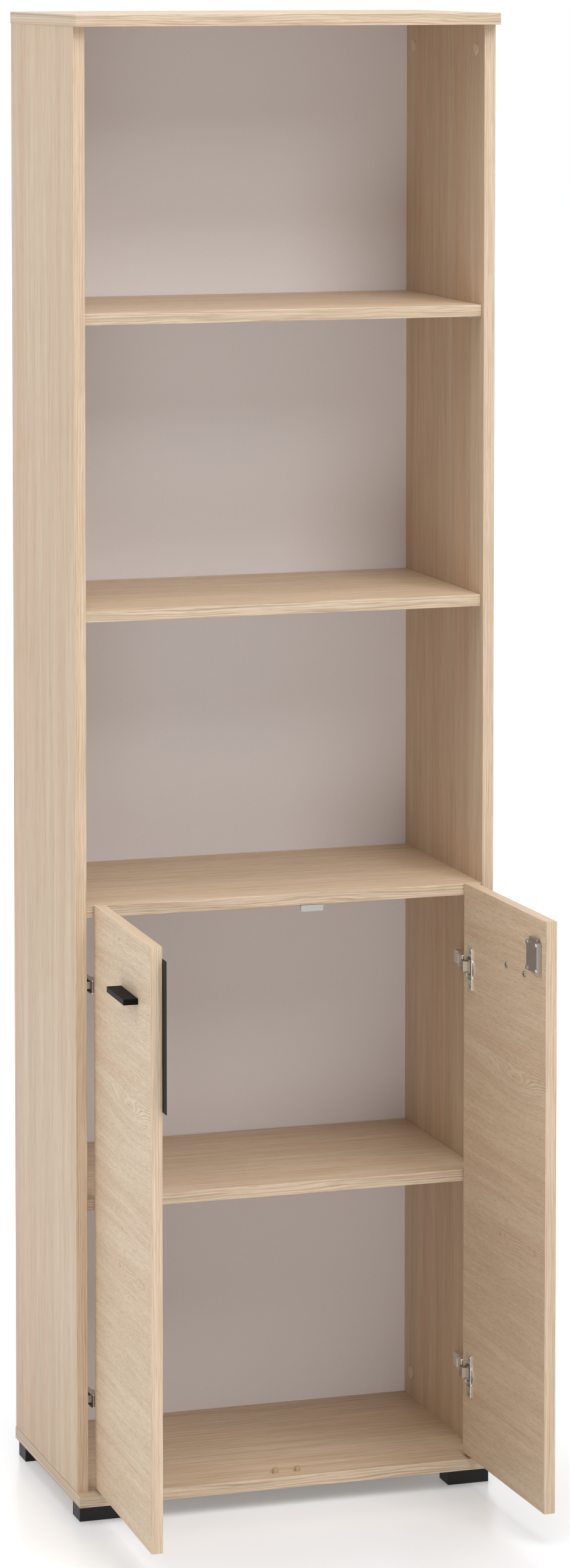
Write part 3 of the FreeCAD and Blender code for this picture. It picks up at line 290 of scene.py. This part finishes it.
    def _growth(self, node: Adder, board: Socket, across: Socket) -> Socket:
        """Lays out the growth lines: straight, then swayed, bowed round the eyes and a little uneven.

        Args:
            node: Adds a node to the material.
            board: Place along, across and through the board.
            across: Place across the grain.

        Returns:
            Place across the growth lines.
        """
        sway = self._streaks(node, board, self.sway_length, self.sway_width, self.plain_detail)
        ring = node("Math", {0: sway, 1: self.sway, 2: across}, operation="MULTIPLY_ADD")
        for eye in self.eyes:
            away = node("VectorMath", {0: board, 1: (eye.along, eye.across, 0.0)}, operation="SUBTRACT")
            low = node("VectorMath", {0: away, 1: NOUGHT}, operation="MINIMUM")
            low = node("VectorMath", {0: low, 1: (eye.low_along, eye.low_across, FLAT_REACH)},
                       operation="DIVIDE")
            high = node("VectorMath", {0: away, 1: NOUGHT}, operation="MAXIMUM")
            high = node("VectorMath", {0: high, 1: (eye.high_along, eye.high_across, FLAT_REACH)},
                        operation="DIVIDE")
            share = node("VectorMath", {0: low, 1: high}, operation="ADD")
            square = node("VectorMath", {0: share, 1: share}, output="Value", operation="DOT_PRODUCT")
            fall = node("Math", {0: math.e, 1: node("Math", {0: 0.0, 1: square}, operation="SUBTRACT")},
                        operation="POWER")
            ring = node("Math", {0: fall, 1: eye.swell, 2: ring}, operation="MULTIPLY_ADD")
        wobble = self._streaks(node, board, self.wobble_length, self.wobble_width, self.plain_detail)
        return node("Math", {0: wobble, 1: self.wobble, 2: ring}, operation="MULTIPLY_ADD")

    def _streaks(self, node: Adder, spot: Socket, length: float, width: float, detail: float) -> Socket:
        """Gives soft streaks that run with the grain.

        Args:
            node: Adds a node to the material.
            spot: Place along the grain, across it and through the board.
            length: Length of a streak.
            width: Width of a streak.
            detail: How many layers of finer streaks lie over the first ones.

        Returns:
            A value near one half.
        """
        squeezed = node("VectorMath", {0: spot, 1: (1.0 / length, 1.0 / width, 1.0)}, operation="MULTIPLY")
        return node("TexNoise", {"Vector": squeezed, "Scale": 1.0, "Detail": detail,
                                 "Roughness": self.detail_share})


@dataclass(frozen=True)
class PlainFinish:
    """Any finish of one colour with a fine grain of its own: moulded, coated, plated or cast.

    Specks of a second colour are as large as the grain of the real surface, or as large as shows, and
    they carry the gloss and the relief too. Lengths are in millimetres.
    """

    name: str
    colour: str
    second: str
    metallic: float = 0.0
    roughness: float = 0.5
    roughness_spread: float = 0.08
    specular: float = 0.5
    speck: float = 2.0
    speck_span: Span = Span(0.35, 0.65)
    speck_strength: float = 0.5
    speck_detail: float = 3.0
    detail_share: float = 0.6
    relief: float = 0.02
    bump: float = 0.5
    stretch: Point = (1.0, 1.0, 1.0)

    def build(self) -> bpy.types.Material:
        """Builds the node material."""
        material, node = new_material(self.name)
        scale = tuple(MILLIMETRES_IN_METRE / self.speck / part for part in self.stretch)
        spot = node("Mapping", {"Vector": node("TexCoord", output="Object"), "Scale": scale})
        specks = node("TexNoise", {"Vector": spot, "Scale": 1.0, "Detail": self.speck_detail,
                                   "Roughness": self.detail_share})
        share = node("MapRange", {"Value": specks, "From Min": self.speck_span.low,
                                  "From Max": self.speck_span.high, "To Max": self.speck_strength})
        colour = node("Mix", {MIX_SHARE: share, COLOUR_UNDER: linear(self.colour),
                              COLOUR_OVER: linear(self.second)}, output=COLOUR_MIXED, data_type="RGBA")
        rough = node("MapRange", {"Value": specks, "To Min": self.roughness - self.roughness_spread,
                                  "To Max": self.roughness + self.roughness_spread})
        bump = node("Bump", {"Strength": self.bump, "Distance": self.relief / MILLIMETRES_IN_METRE,
                             "Height": specks})
        shader = node("BsdfPrincipled", {"Base Color": colour, "Metallic": self.metallic, "Roughness": rough,
                                         "Specular IOR Level": self.specular, "Normal": bump})
        node("OutputMaterial", {"Surface": shader})
        return material


@dataclass(frozen=True)
class HardboardBack:
    """Thin hardboard, lacquered white on the side that faces the shelves and left raw behind.

    The lacquer is a satin off-white with a very fine orange peel. The raw side is brown wood fibre
    with the square mark of the press screen. Lengths are in millimetres, and the middle is how far back
    the middle of the hardboard's thickness lies.
    """

    name: str = "lacquered_hardboard"
    lacquer: str = "#efecee"
    lacquer_shade: str = "#e6e3e5"
    fibre: str = "#a98559"
    fibre_shade: str = "#8a6a44"
    middle: float = 323.5
    peel_size: float = 1.6
    peel_detail: float = 2.0
    fibre_size: float = 6.3
    fibre_detail: float = 5.0
    fibre_detail_share: float = 0.7
    fibre_twist: float = 1.2
    screen_pitch: float = 2.4
    relief: float = 0.08
    bump: float = 0.5
    lacquer_roughness: float = 0.52
    raw_roughness: float = 0.82
    ior: float = 1.49
    specular: float = 0.35

    def build(self) -> bpy.types.Material:
        """Builds the node material."""
        material, node = new_material(self.name)
        place = node("VectorMath", {0: node("TexCoord", output="Object"), "Scale": MILLIMETRES_IN_METRE},
                     operation="SCALE")
        depth = node("SeparateXYZ", {0: place}, output="Y")
        behind = node("Math", {0: depth, 1: self.middle}, operation="GREATER_THAN")
        peel = node("TexNoise", {"Vector": place, "Scale": 1.0 / self.peel_size, "Detail": self.peel_detail})
        lacquer = node("Mix", {MIX_SHARE: peel, COLOUR_UNDER: linear(self.lacquer),
                               COLOUR_OVER: linear(self.lacquer_shade)}, output=COLOUR_MIXED,
                       data_type="RGBA")
        fibres = node("TexNoise", {
            "Vector": place, "Scale": 1.0 / self.fibre_size, "Detail": self.fibre_detail,
            "Roughness": self.fibre_detail_share, "Distortion": self.fibre_twist})
        raw = node("Mix", {MIX_SHARE: fibres, COLOUR_UNDER: linear(self.fibre),
                           COLOUR_OVER: linear(self.fibre_shade)}, output=COLOUR_MIXED, data_type="RGBA")
        colour = node("Mix", {MIX_SHARE: behind, COLOUR_UNDER: lacquer, COLOUR_OVER: raw},
                      output=COLOUR_MIXED, data_type="RGBA")
        wave = WAVE_PITCH / self.screen_pitch
        across = node("TexWave", {"Vector": place, "Scale": wave}, output="Fac", bands_direction="X")
        upright = node("TexWave", {"Vector": place, "Scale": wave}, output="Fac", bands_direction="Z")
        screen = node("Math", {0: across, 1: upright}, operation="MULTIPLY")
        height = node("Mix", {MIX_SHARE: behind, NUMBER_UNDER: peel, NUMBER_OVER: screen},
                      data_type="FLOAT")
        bump = node("Bump", {"Strength": self.bump, "Distance": self.relief / MILLIMETRES_IN_METRE,
                             "Height": height})
        rough = node("MapRange", {"Value": behind, "To Min": self.lacquer_roughness,
                                  "To Max": self.raw_roughness})
        shader = node("BsdfPrincipled", {"Base Color": colour, "Roughness": rough, "IOR": self.ior,
                                         "Specular IOR Level": self.specular, "Normal": bump})
        node("OutputMaterial", {"Surface": shader})
        return material


class Finish(Enum):
    """Every finish of the bookcase."""

    # Oak decor on the side panels: straight upright grain, very fine, in soft wide stripes.
    OAK_SIDE = OakDecor(
        "oak_decor_upright", Grain.UPRIGHT, line_pitch=2.3, line_strength=0.18, streak_width=4.5,
        streak_strength=0.20, pore_length=30.0, pore_strength=0.14, stripe_width=28.0, stripe_strength=0.8,
        rose_strength=0.48, sway=4.0, sway_length=1500.0, sway_width=140.0, wobble=0.7,
        wobble_length=60.0, seed=3.1)
    # Oak decor on the level boards: fine grain along the width, with a few longer darker lines.
    OAK_SHELF = OakDecor(
        "oak_decor_shelf", Grain.ACROSS_WIDTH, line_pitch=2.6, line_strength=0.22, streak_width=3.2,
        streak_strength=0.36, pore_length=22.0, pore_strength=0.18, stripe_width=22.0,
        stripe_strength=0.55, sway=9.0, sway_width=110.0, seed=11.7)
    # Oak decor on the doors: level grain cut nearer to the surface of the log, so it bows round eyes.
    # Both doors have the same stretch of print.
    OAK_DOOR = OakDecor(
        "oak_decor_door", Grain.ACROSS_DOOR, pale="#dfcaae", tan="#d2b798", line_pitch=2.9,
        line_strength=0.42, streak_strength=0.18, stripe_width=24.0, stripe_strength=0.45, sway=10.0,
        sway_width=170.0, wobble=1.0, eyes=(
            Eye(-205.0, 604.0, 15.0, 110.0, 130.0, 80.0, 26.0),
            Eye(-192.0, 612.0, 10.0, 46.0, 80.0, 14.0, 9.0),
            Eye(-110.0, 384.0, 12.0, 90.0, 13.0, 30.0, 8.0),
            Eye(-236.0, 386.0, 10.0, 60.0, 12.0, 20.0, 7.0)),
        depth_in_metre=0.0, seed=5.3)
    # ABS edge band with the same oak print, upright: paler than the faces, with longer streaks.
    EDGE_UPRIGHT = OakDecor(
        "oak_edge_band_upright", Grain.BAND_UPRIGHT, pale="#dec8ae", tan="#d2b99c", dark="#a5876a",
        line_pitch=3.4, line_strength=0.40, streak_strength=0.35, pore_length=30.0, pore_strength=0.3,
        stripe_width=6.0, stripe_strength=0.4, sway=7.0, sway_length=170.0, sway_width=20.0,
        wobble=0.8, seed=7.9)
    # ABS edge band with the same oak print, along the width.
    EDGE_WIDTH = OakDecor(
        "oak_edge_band_across", Grain.BAND_WIDTH, pale="#dac7af", tan="#cdb599", dark="#8f7153",
        line_pitch=3.8, line_strength=0.42, streak_width=2.2, streak_strength=0.45, pore_length=30.0,
        pore_strength=0.3, stripe_width=6.0, stripe_strength=0.4, sway=11.0, sway_length=130.0,
        sway_width=20.0, wobble=0.8, seed=1.3)
    # Lacquered hardboard: off-white and satin towards the shelves, brown and fibrous behind.
    BACK = HardboardBack()
    # Polypropylene foot blocks, moulded with a fine spark-eroded grain: a soft dark sheen.
    BLACK_PLASTIC = PlainFinish(
        "black_moulded_polypropylene", "#100f0f", "#181716", roughness=0.5, specular=0.3, speck=0.9,
        relief=0.04)
    # Powder coat on the handles: a dry, slightly pebbled black.
    BLACK_COAT = PlainFinish(
        "black_powder_coat", "#090808", "#0f0e0d", roughness=0.6, specular=0.10, speck=0.7, relief=0.03)
    # Extruded rigid PVC strip: faint die lines along its length.
    BLACK_STRIP = PlainFinish(
        "black_extruded_pvc", "#0f0e0d", "#1b1917", roughness=0.5, specular=0.2, speck=1.6,
        stretch=(1.0, 1.0, 60.0), relief=0.02)
    # Bright zinc plate on pins, pegs and screws: a clear, slightly mottled shine.
    ZINC = PlainFinish(
        "bright_zinc_plate", "#cdccc9", "#bab8b4", metallic=1.0, roughness=0.30, speck=0.8, relief=0.001)
    # Older zinc plate on the strike plate and the handle screws: the same, gone dull.
    DULL_ZINC = PlainFinish(
        "dull_zinc_plate", "#a8a6a2", "#999791", metallic=1.0, roughness=0.45, speck=0.8, relief=0.001)
    # Satin nickel plate on the pressed hinge parts: a warm, soft shine.
    NICKEL = PlainFinish(
        "satin_nickel_plate", "#e2ded8", "#d2cdc6", metallic=1.0, roughness=0.40, speck=0.6, relief=0.001)
    # Drawn steel links under a thin nickel plate: the press leaves them darker and duller.
    LINK_NICKEL = PlainFinish(
        "drawn_nickel_plate", "#b5a99b", "#a29688", metallic=1.0, roughness=0.60, speck=0.6, relief=0.001)
    # Satin nickel over tumbled zinc on the lock: duller, with visible specks.
    LOCK_NICKEL = PlainFinish(
        "lock_satin_nickel", "#aea79f", "#8f8780", metallic=1.0, roughness=0.56, speck=0.5,
        speck_strength=0.9, relief=0.002)
    # Die-cast zinc of the cam locks: grey and grainy, as it leaves the die.
    CAST = PlainFinish(
        "die_cast_zinc", "#8f8d88", "#7d7a75", metallic=1.0, roughness=0.5, speck=0.9, relief=0.02)
    # Turned beech dowels: dry, with fibres along the pin.
    BEECH = PlainFinish(
        "beech_dowel", "#c9a67c", "#b08a60", roughness=0.6, speck=1.2, stretch=(1.0, 1.0, 8.0), relief=0.05)
    # Polyethylene cover caps, moulded in the oak's colour: smooth with a low sheen.
    CAP = PlainFinish(
        "oak_coloured_cap", "#dcc8b0", "#d2bb9f", roughness=0.38, speck=1.0, relief=0.01)
    # Nylon door stops: slightly waxy beige.
    STOP = PlainFinish(
        "beige_nylon_stop", "#bda383", "#b19775", roughness=0.4, speck=1.0, relief=0.01)

    def material(self) -> bpy.types.Material:
        """Gives the finish's node material, built when it is first asked for."""
        return bpy.data.materials.get(self.value.name) or self.value.build()


class SubAssembly(ABC):
    """A part of the bookcase whose pieces are modelled and dressed together."""

    def build(self) -> None:
        """Models the pieces that the CAD leaves out, and most parts have none."""

    @abstractmethod
    def dress(self) -> None:
        """Gives every piece its finish."""

    def _wear(self, finish: Finish, pieces: Names) -> None:
        """Gives CAD pieces a finish.

        Args:
            finish: The finish.
            pieces: Names of the pieces.
        """
        for piece in pieces:
            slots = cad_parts[piece].data.materials
            slots.clear()
            slots.append(finish.material())
            log.info("%s wears %s", piece, finish.value.name)


@dataclass(frozen=True)
class Carcass(SubAssembly):
    """Panels, fixed shelf, back and feet, with the fittings that hold them together."""

    side_panels: Names = ("left_side_panel", "right_side_panel")
    level_boards: Names = ("top_panel", "bottom_panel", "fixed_shelf")
    upright_bands: Names = ("side_edge_bands",)
    level_bands: Names = ("top_edge_bands", "bottom_edge_bands", "fixed_shelf_edge_band")
    back: Names = ("back_panel",)
    feet: Names = ("front_feet", "rear_feet")
    steel_fixings: Names = ("back_nails", "side_cam_bolts", "shelf_cam_bolts", "foot_screws")
    cam_locks: Names = ("side_cam_locks", "shelf_cam_locks")
    dowels: Names = ("wooden_dowels",)
    cover_caps: Names = ("cam_cover_caps",)
    door_stops: Names = ("door_stops",)
    strike: Names = ("strike_plate", "strike_screws")

    def dress(self) -> None:
        """Gives every piece of the carcass its finish."""
        self._wear(Finish.OAK_SIDE, self.side_panels)
        self._wear(Finish.OAK_SHELF, self.level_boards)
        self._wear(Finish.EDGE_UPRIGHT, self.upright_bands)
        self._wear(Finish.EDGE_WIDTH, self.level_bands)
        self._wear(Finish.BACK, self.back)
        self._wear(Finish.BLACK_PLASTIC, self.feet)
        self._wear(Finish.ZINC, self.steel_fixings)
        self._wear(Finish.CAST, self.cam_locks)
        self._wear(Finish.BEECH, self.dowels)
        self._wear(Finish.CAP, self.cover_caps)
        self._wear(Finish.STOP, self.door_stops)
        self._wear(Finish.DULL_ZINC, self.strike)


@dataclass(frozen=True)
class LooseShelves(SubAssembly):
    """Two upper shelves and the shelf in the cabinet, each on four pins."""

    boards: Names = ("upper_shelf", "middle_shelf", "cabinet_shelf")
    bands: Names = ("loose_shelf_edge_bands",)
    pins: Names = ("upper_shelf_pins", "middle_shelf_pins", "cabinet_shelf_pins")

    def dress(self) -> None:
        """Gives the shelves and their pins their finishes."""
        self._wear(Finish.OAK_SHELF, self.boards)
        self._wear(Finish.EDGE_WIDTH, self.bands)
        self._wear(Finish.ZINC, self.pins)


@dataclass(frozen=True)
class Doors(SubAssembly):
    """Both doors with their handles and the strip that covers the gap between them."""

    boards: Names = ("left_door", "right_door")
    bands: Names = ("left_door_edge_bands", "right_door_edge_bands")
    handles: Names = ("left_handle", "right_handle")
    handle_screws: Names = ("left_handle_screws", "right_handle_screws")
    strip: Names = ("overlap_strip", "overlap_strip_screws")

    def dress(self) -> None:
        """Gives the doors and what is fixed to them their finishes."""
        self._wear(Finish.OAK_DOOR, self.boards)
        self._wear(Finish.EDGE_UPRIGHT, self.bands)
        self._wear(Finish.BLACK_COAT, self.handles)
        self._wear(Finish.DULL_ZINC, self.handle_screws)
        self._wear(Finish.BLACK_STRIP, self.strip)


@dataclass(frozen=True)
class Lock(SubAssembly):
    """Rim lock on the right door."""

    parts: Names = ("lock_case", "lock_cylinder", "lock_plug", "lock_bolt")
    screws: Names = ("lock_screws",)

    def dress(self) -> None:
        """Gives the lock and its screws their finishes."""
        self._wear(Finish.LOCK_NICKEL, self.parts)
        self._wear(Finish.ZINC, self.screws)


@dataclass(frozen=True)
class Hinges(SubAssembly):
    """Four concealed hinges, and the pressed covers clipped over their arms.

    The sizes are those of the covers, in metres. A cover's outer face is the one whose normal points
    outwards by more than the last number.
    """

    pressed_parts: Names = ("hinge_mounting_plates", "hinge_arms", "left_hinge_cups", "right_hinge_cups")
    links: Names = ("left_hinge_links", "right_hinge_links")
    screws_and_pins: Names = (
        "hinge_plate_screws", "hinge_arm_screws", "hinge_arm_pins", "left_cup_screws", "right_cup_screws",
        "left_cup_pins", "right_cup_pins")
    covers: str = "hinge_arm_covers"
    depth: float = 0.0044
    length: float = 0.0205
    height: float = 0.0184
    # Where a cover sits: how far out its arm is, how far back it starts, and how high the hinges are.
    seat: float = 0.2674
    front: float = 0.0238
    hinge_heights: tuple[float, float] = (0.1605, 0.7315)
    # A cover's rounded corner, its flat rim, and the dish inside the rim.
    corner: float = 0.0014
    corner_steps: int = 4
    rim: float = 0.0017
    dish: float = 0.0008
    smooth_angle: float = math.radians(35.0)
    least_outward: float = 0.999

    def build(self) -> None:
        """Models the covers as one piece that rides on the carcass."""
        first = self._cover()
        places = [(side, height) for side in (-1.0, 1.0) for height in self.hinge_heights]
        covers = [first] + [self._copy(first) for _ in places[1:]]
        for cover, (side, height) in zip(covers, places):
            self._place(cover, side, height)
        bpy.ops.object.select_all(action="DESELECT")
        for cover in covers:
            cover.select_set(True)
        bpy.context.view_layer.objects.active = first
        bpy.ops.object.join()
        first.name = self.covers
        bpy.ops.object.shade_smooth_by_angle(angle=self.smooth_angle)
        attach(first, "carcass")
        log.info("%s modelled", first.name)

    def dress(self) -> None:
        """Gives the hinges and their covers their finishes."""
        self._wear(Finish.NICKEL, self.pressed_parts)
        self._wear(Finish.LINK_NICKEL, self.links)
        self._wear(Finish.ZINC, self.screws_and_pins)
        bpy.data.objects[self.covers].data.materials.append(Finish.NICKEL.material())
        log.info("%s wears %s", self.covers, Finish.NICKEL.value.name)

    def _cover(self) -> bpy.types.Object:
        """Models one cover at the middle of the frame, its dished face towards +X."""
        bpy.ops.object.select_all(action="DESELECT")
        bpy.ops.mesh.primitive_cube_add(size=1.0, scale=(self.depth, self.length, self.height))
        cover = bpy.context.object
        bpy.ops.object.transform_apply(location=False, rotation=False, scale=True)
        bpy.ops.object.mode_set(mode="EDIT")
        bpy.ops.mesh.select_mode(type="EDGE")
        self._select_edges_round_face(cover)
        bpy.ops.mesh.bevel(offset=self.corner, segments=self.corner_steps, affect="EDGES")
        bpy.ops.mesh.select_mode(type="FACE")
        self._select_outer_face(cover)
        bpy.ops.mesh.inset(thickness=self.rim, depth=0.0)
        bpy.ops.mesh.inset(thickness=self.dish, depth=-self.dish)
        bpy.ops.object.mode_set(mode="OBJECT")
        return cover

    def _select_edges_round_face(self, cover: bpy.types.Object) -> None:
        """Selects the edges that do not touch the arm.

        Args:
            cover: The cover in edit mode.
        """
        bpy.ops.mesh.select_all(action="DESELECT")
        bpy.ops.object.mode_set(mode="OBJECT")
        mesh = cover.data
        for edge in mesh.edges:
            ends = [mesh.vertices[number].co.x for number in edge.vertices]
            edge.select = max(ends) > 0.0
        bpy.ops.object.mode_set(mode="EDIT")

    def _select_outer_face(self, cover: bpy.types.Object) -> None:
        """Selects the flat face away from the arm.

        Args:
            cover: The cover in edit mode.
        """
        bpy.ops.mesh.select_all(action="DESELECT")
        bpy.ops.object.mode_set(mode="OBJECT")
        for face in cover.data.polygons:
            face.select = face.normal.x > self.least_outward
        bpy.ops.object.mode_set(mode="EDIT")

    def _copy(self, cover: bpy.types.Object) -> bpy.types.Object:
        """Copies a cover with its own mesh.

        Args:
            cover: The cover to copy.

        Returns:
            The copy.
        """
        twin = cover.copy()
        twin.data = cover.data.copy()
        bpy.context.scene.collection.objects.link(twin)
        return twin

    def _place(self, cover: bpy.types.Object, side: float, height: float) -> None:
        """Turns a cover's dished face to the middle and sets it on its arm.

        Args:
            cover: The cover to place.
            side: Minus one for the left arm, one for the right arm.
            height: Height of the hinge.
        """
        bpy.ops.object.select_all(action="DESELECT")
        cover.select_set(True)
        bpy.context.view_layer.objects.active = cover
        cover.rotation_euler = (0.0, 0.0, math.pi if side > 0.0 else 0.0)
        cover.location = (side * (self.seat - self.depth / 2.0), self.front + self.length / 2.0, height)
        bpy.ops.object.transform_apply(location=True, rotation=True, scale=True)


@dataclass(frozen=True)
class Lamp:
    """A soft square lamp that the camera does not see. Lengths are in metres, power in watts."""

    name: str
    place: Point
    target: Point
    size: float
    power: float

    def hang(self) -> None:
        """Hangs the lamp and turns it to its target."""
        light = bpy.data.lights.new(self.name, "AREA")
        light.shape = "SQUARE"
        light.size = self.size
        light.energy = self.power
        holder = bpy.data.objects.new(self.name, light)
        bpy.context.scene.collection.objects.link(holder)
        holder.visible_camera = False
        holder.location = self.place
        holder.rotation_euler = (Vector(self.target) - Vector(self.place)).to_track_quat("-Z", "Y").to_euler()


@dataclass(frozen=True)
class Studio:
    """Pale floor, soft lamps, white surroundings and the camera.

    Lengths are in metres, but the lens and the sensor are in millimetres. Angles are in degrees.
    """

    camera_place: Point = (-2.08918, -6.45702, 2.14)
    camera_yaw: float = 17.863
    camera_pitch: float = 4.028
    camera_lens: float = 115.349
    camera_sensor: float = 36.0
    camera_reach: float = 200.0
    # The shifts are shares of the image's height.
    shift_x: float = 6.06 / IMAGE_HEIGHT
    shift_y: float = -0.31
    floor_size: float = 60.0
    floor_paint: str = "#e9ebee"
    floor_roughness: float = 0.22
    # The floor glows to the eye only, and more so away from this point, so that the soft shadow under the
    # bookcase stays and the rest is white. The glow is painted light, and its fall towards this point paints
    # the floor darker round the bookcase, on top of the real shadow.
    glow_middle: Point = (0.08, -0.27, 0.0)
    glow_near: float = 0.1
    glow_far: float = 1.7
    glow_low: float = 0.185
    glow_high: float = 0.66
    surround_strength: float = 0.37
    lamps: tuple[Lamp, ...] = (
        Lamp("overhead_lamp", (0.0, -1.6, 5.0), (0.0, 0.0, 1.0), 3.0, 106.0),
        Lamp("high_front_lamp", (1.3, -4.2, 4.9), (0.0, 0.0, 1.0), 2.6, 106.0),
        Lamp("left_lamp", (-5.0, 0.9, 1.8), (0.0, 0.2, 1.0), 3.0, 39.0),
        Lamp("high_left_lamp", (-3.6, 0.2, 4.4), (0.0, 0.0, 1.0), 2.6, 53.0),
        Lamp("low_front_lamp", (-0.12, -1.9, 0.45), (0.2, 0.0, 0.35), 0.9, 2.6),
        Lamp("low_left_lamp", (-1.1, -2.2, 0.4), (0.1, 0.0, 0.25), 0.9, 4.6),
    )

    def build(self) -> None:
        """Builds the floor, the surroundings, the lamps and the camera."""
        self._floor()
        self._surroundings()
        for lamp in self.lamps:
            lamp.hang()
        self._camera()
        log.info("studio built with %d lamps", len(self.lamps))

    def _seen(self, node: Adder) -> Socket:
        """Tells the rays that see the background from the rays that light the bookcase.

        Args:
            node: Adds a node to the floor's material or to the surroundings.

        Returns:
            One for camera, glossy and transmission rays, and nought for the rest.
        """
        seen = node("LightPath", output="Is Camera Ray")
        for ray in ("Is Glossy Ray", "Is Transmission Ray"):
            seen = node("Math", {0: seen, 1: node("LightPath", output=ray)}, operation="MAXIMUM")
        return seen

    def _floor(self) -> None:
        """Lays the floor, a little glossy, with a painted glow that makes it white away from the bookcase and
        paints it darker near it.
        """
        bpy.ops.object.select_all(action="DESELECT")
        bpy.ops.mesh.primitive_plane_add(size=self.floor_size)
        floor = bpy.context.object
        floor.name = "studio_floor"
        material, node = new_material("studio_floor_paint")
        away = node("VectorMath", {0: node("TexCoord", output="Object"), 1: self.glow_middle},
                    output="Value", operation="DISTANCE")
        rise = node("MapRange", {"Value": away, "From Min": self.glow_near, "From Max": self.glow_far,
                                 "To Min": self.glow_low, "To Max": self.glow_high},
                    interpolation_type="SMOOTHSTEP")
        glow = node("Math", {0: self._seen(node), 1: rise}, operation="MULTIPLY")
        shader = node("BsdfPrincipled", {
            "Base Color": linear(self.floor_paint), "Roughness": self.floor_roughness,
            "Emission Color": WHITE, "Emission Strength": glow})
        node("OutputMaterial", {"Surface": shader})
        floor.data.materials.append(material)

    def _surroundings(self) -> None:
        """Surrounds the scene with white that lights it evenly."""
        world = bpy.data.worlds.new("white_surroundings")
        bpy.context.scene.world = world
        world.use_nodes = True
        world.node_tree.nodes.clear()
        node = partial(add_node, world.node_tree)
        strength = node("MapRange", {"Value": self._seen(node), "To Min": self.surround_strength})
        node("OutputWorld", {"Surface": node("Background", {"Color": WHITE, "Strength": strength})})

    def _camera(self) -> None:
        """Stands the camera at the front left, a little above the top panel."""
        camera = bpy.data.cameras.new("camera")
        camera.lens = self.camera_lens
        camera.sensor_width = self.camera_sensor
        camera.shift_x = self.shift_x
        camera.shift_y = self.shift_y
        camera.clip_end = self.camera_reach
        holder = bpy.data.objects.new("camera", camera)
        bpy.context.scene.collection.objects.link(holder)
        holder.location = self.camera_place
        tilt = math.radians(LEVEL_VIEW - self.camera_pitch)
        holder.rotation_euler = (tilt, 0.0, math.radians(-self.camera_yaw))
        bpy.context.scene.camera = holder


def main() -> None:
    """Builds everything in order."""
    bpy.context.scene.view_settings.view_transform = "Standard"
    for part in (Carcass(), LooseShelves(), Doors(), Lock(), Hinges()):
        part.build()
        part.dress()
    Studio().build()
    log.info("bookcase finished")


if __name__ == "__main__":
    main()
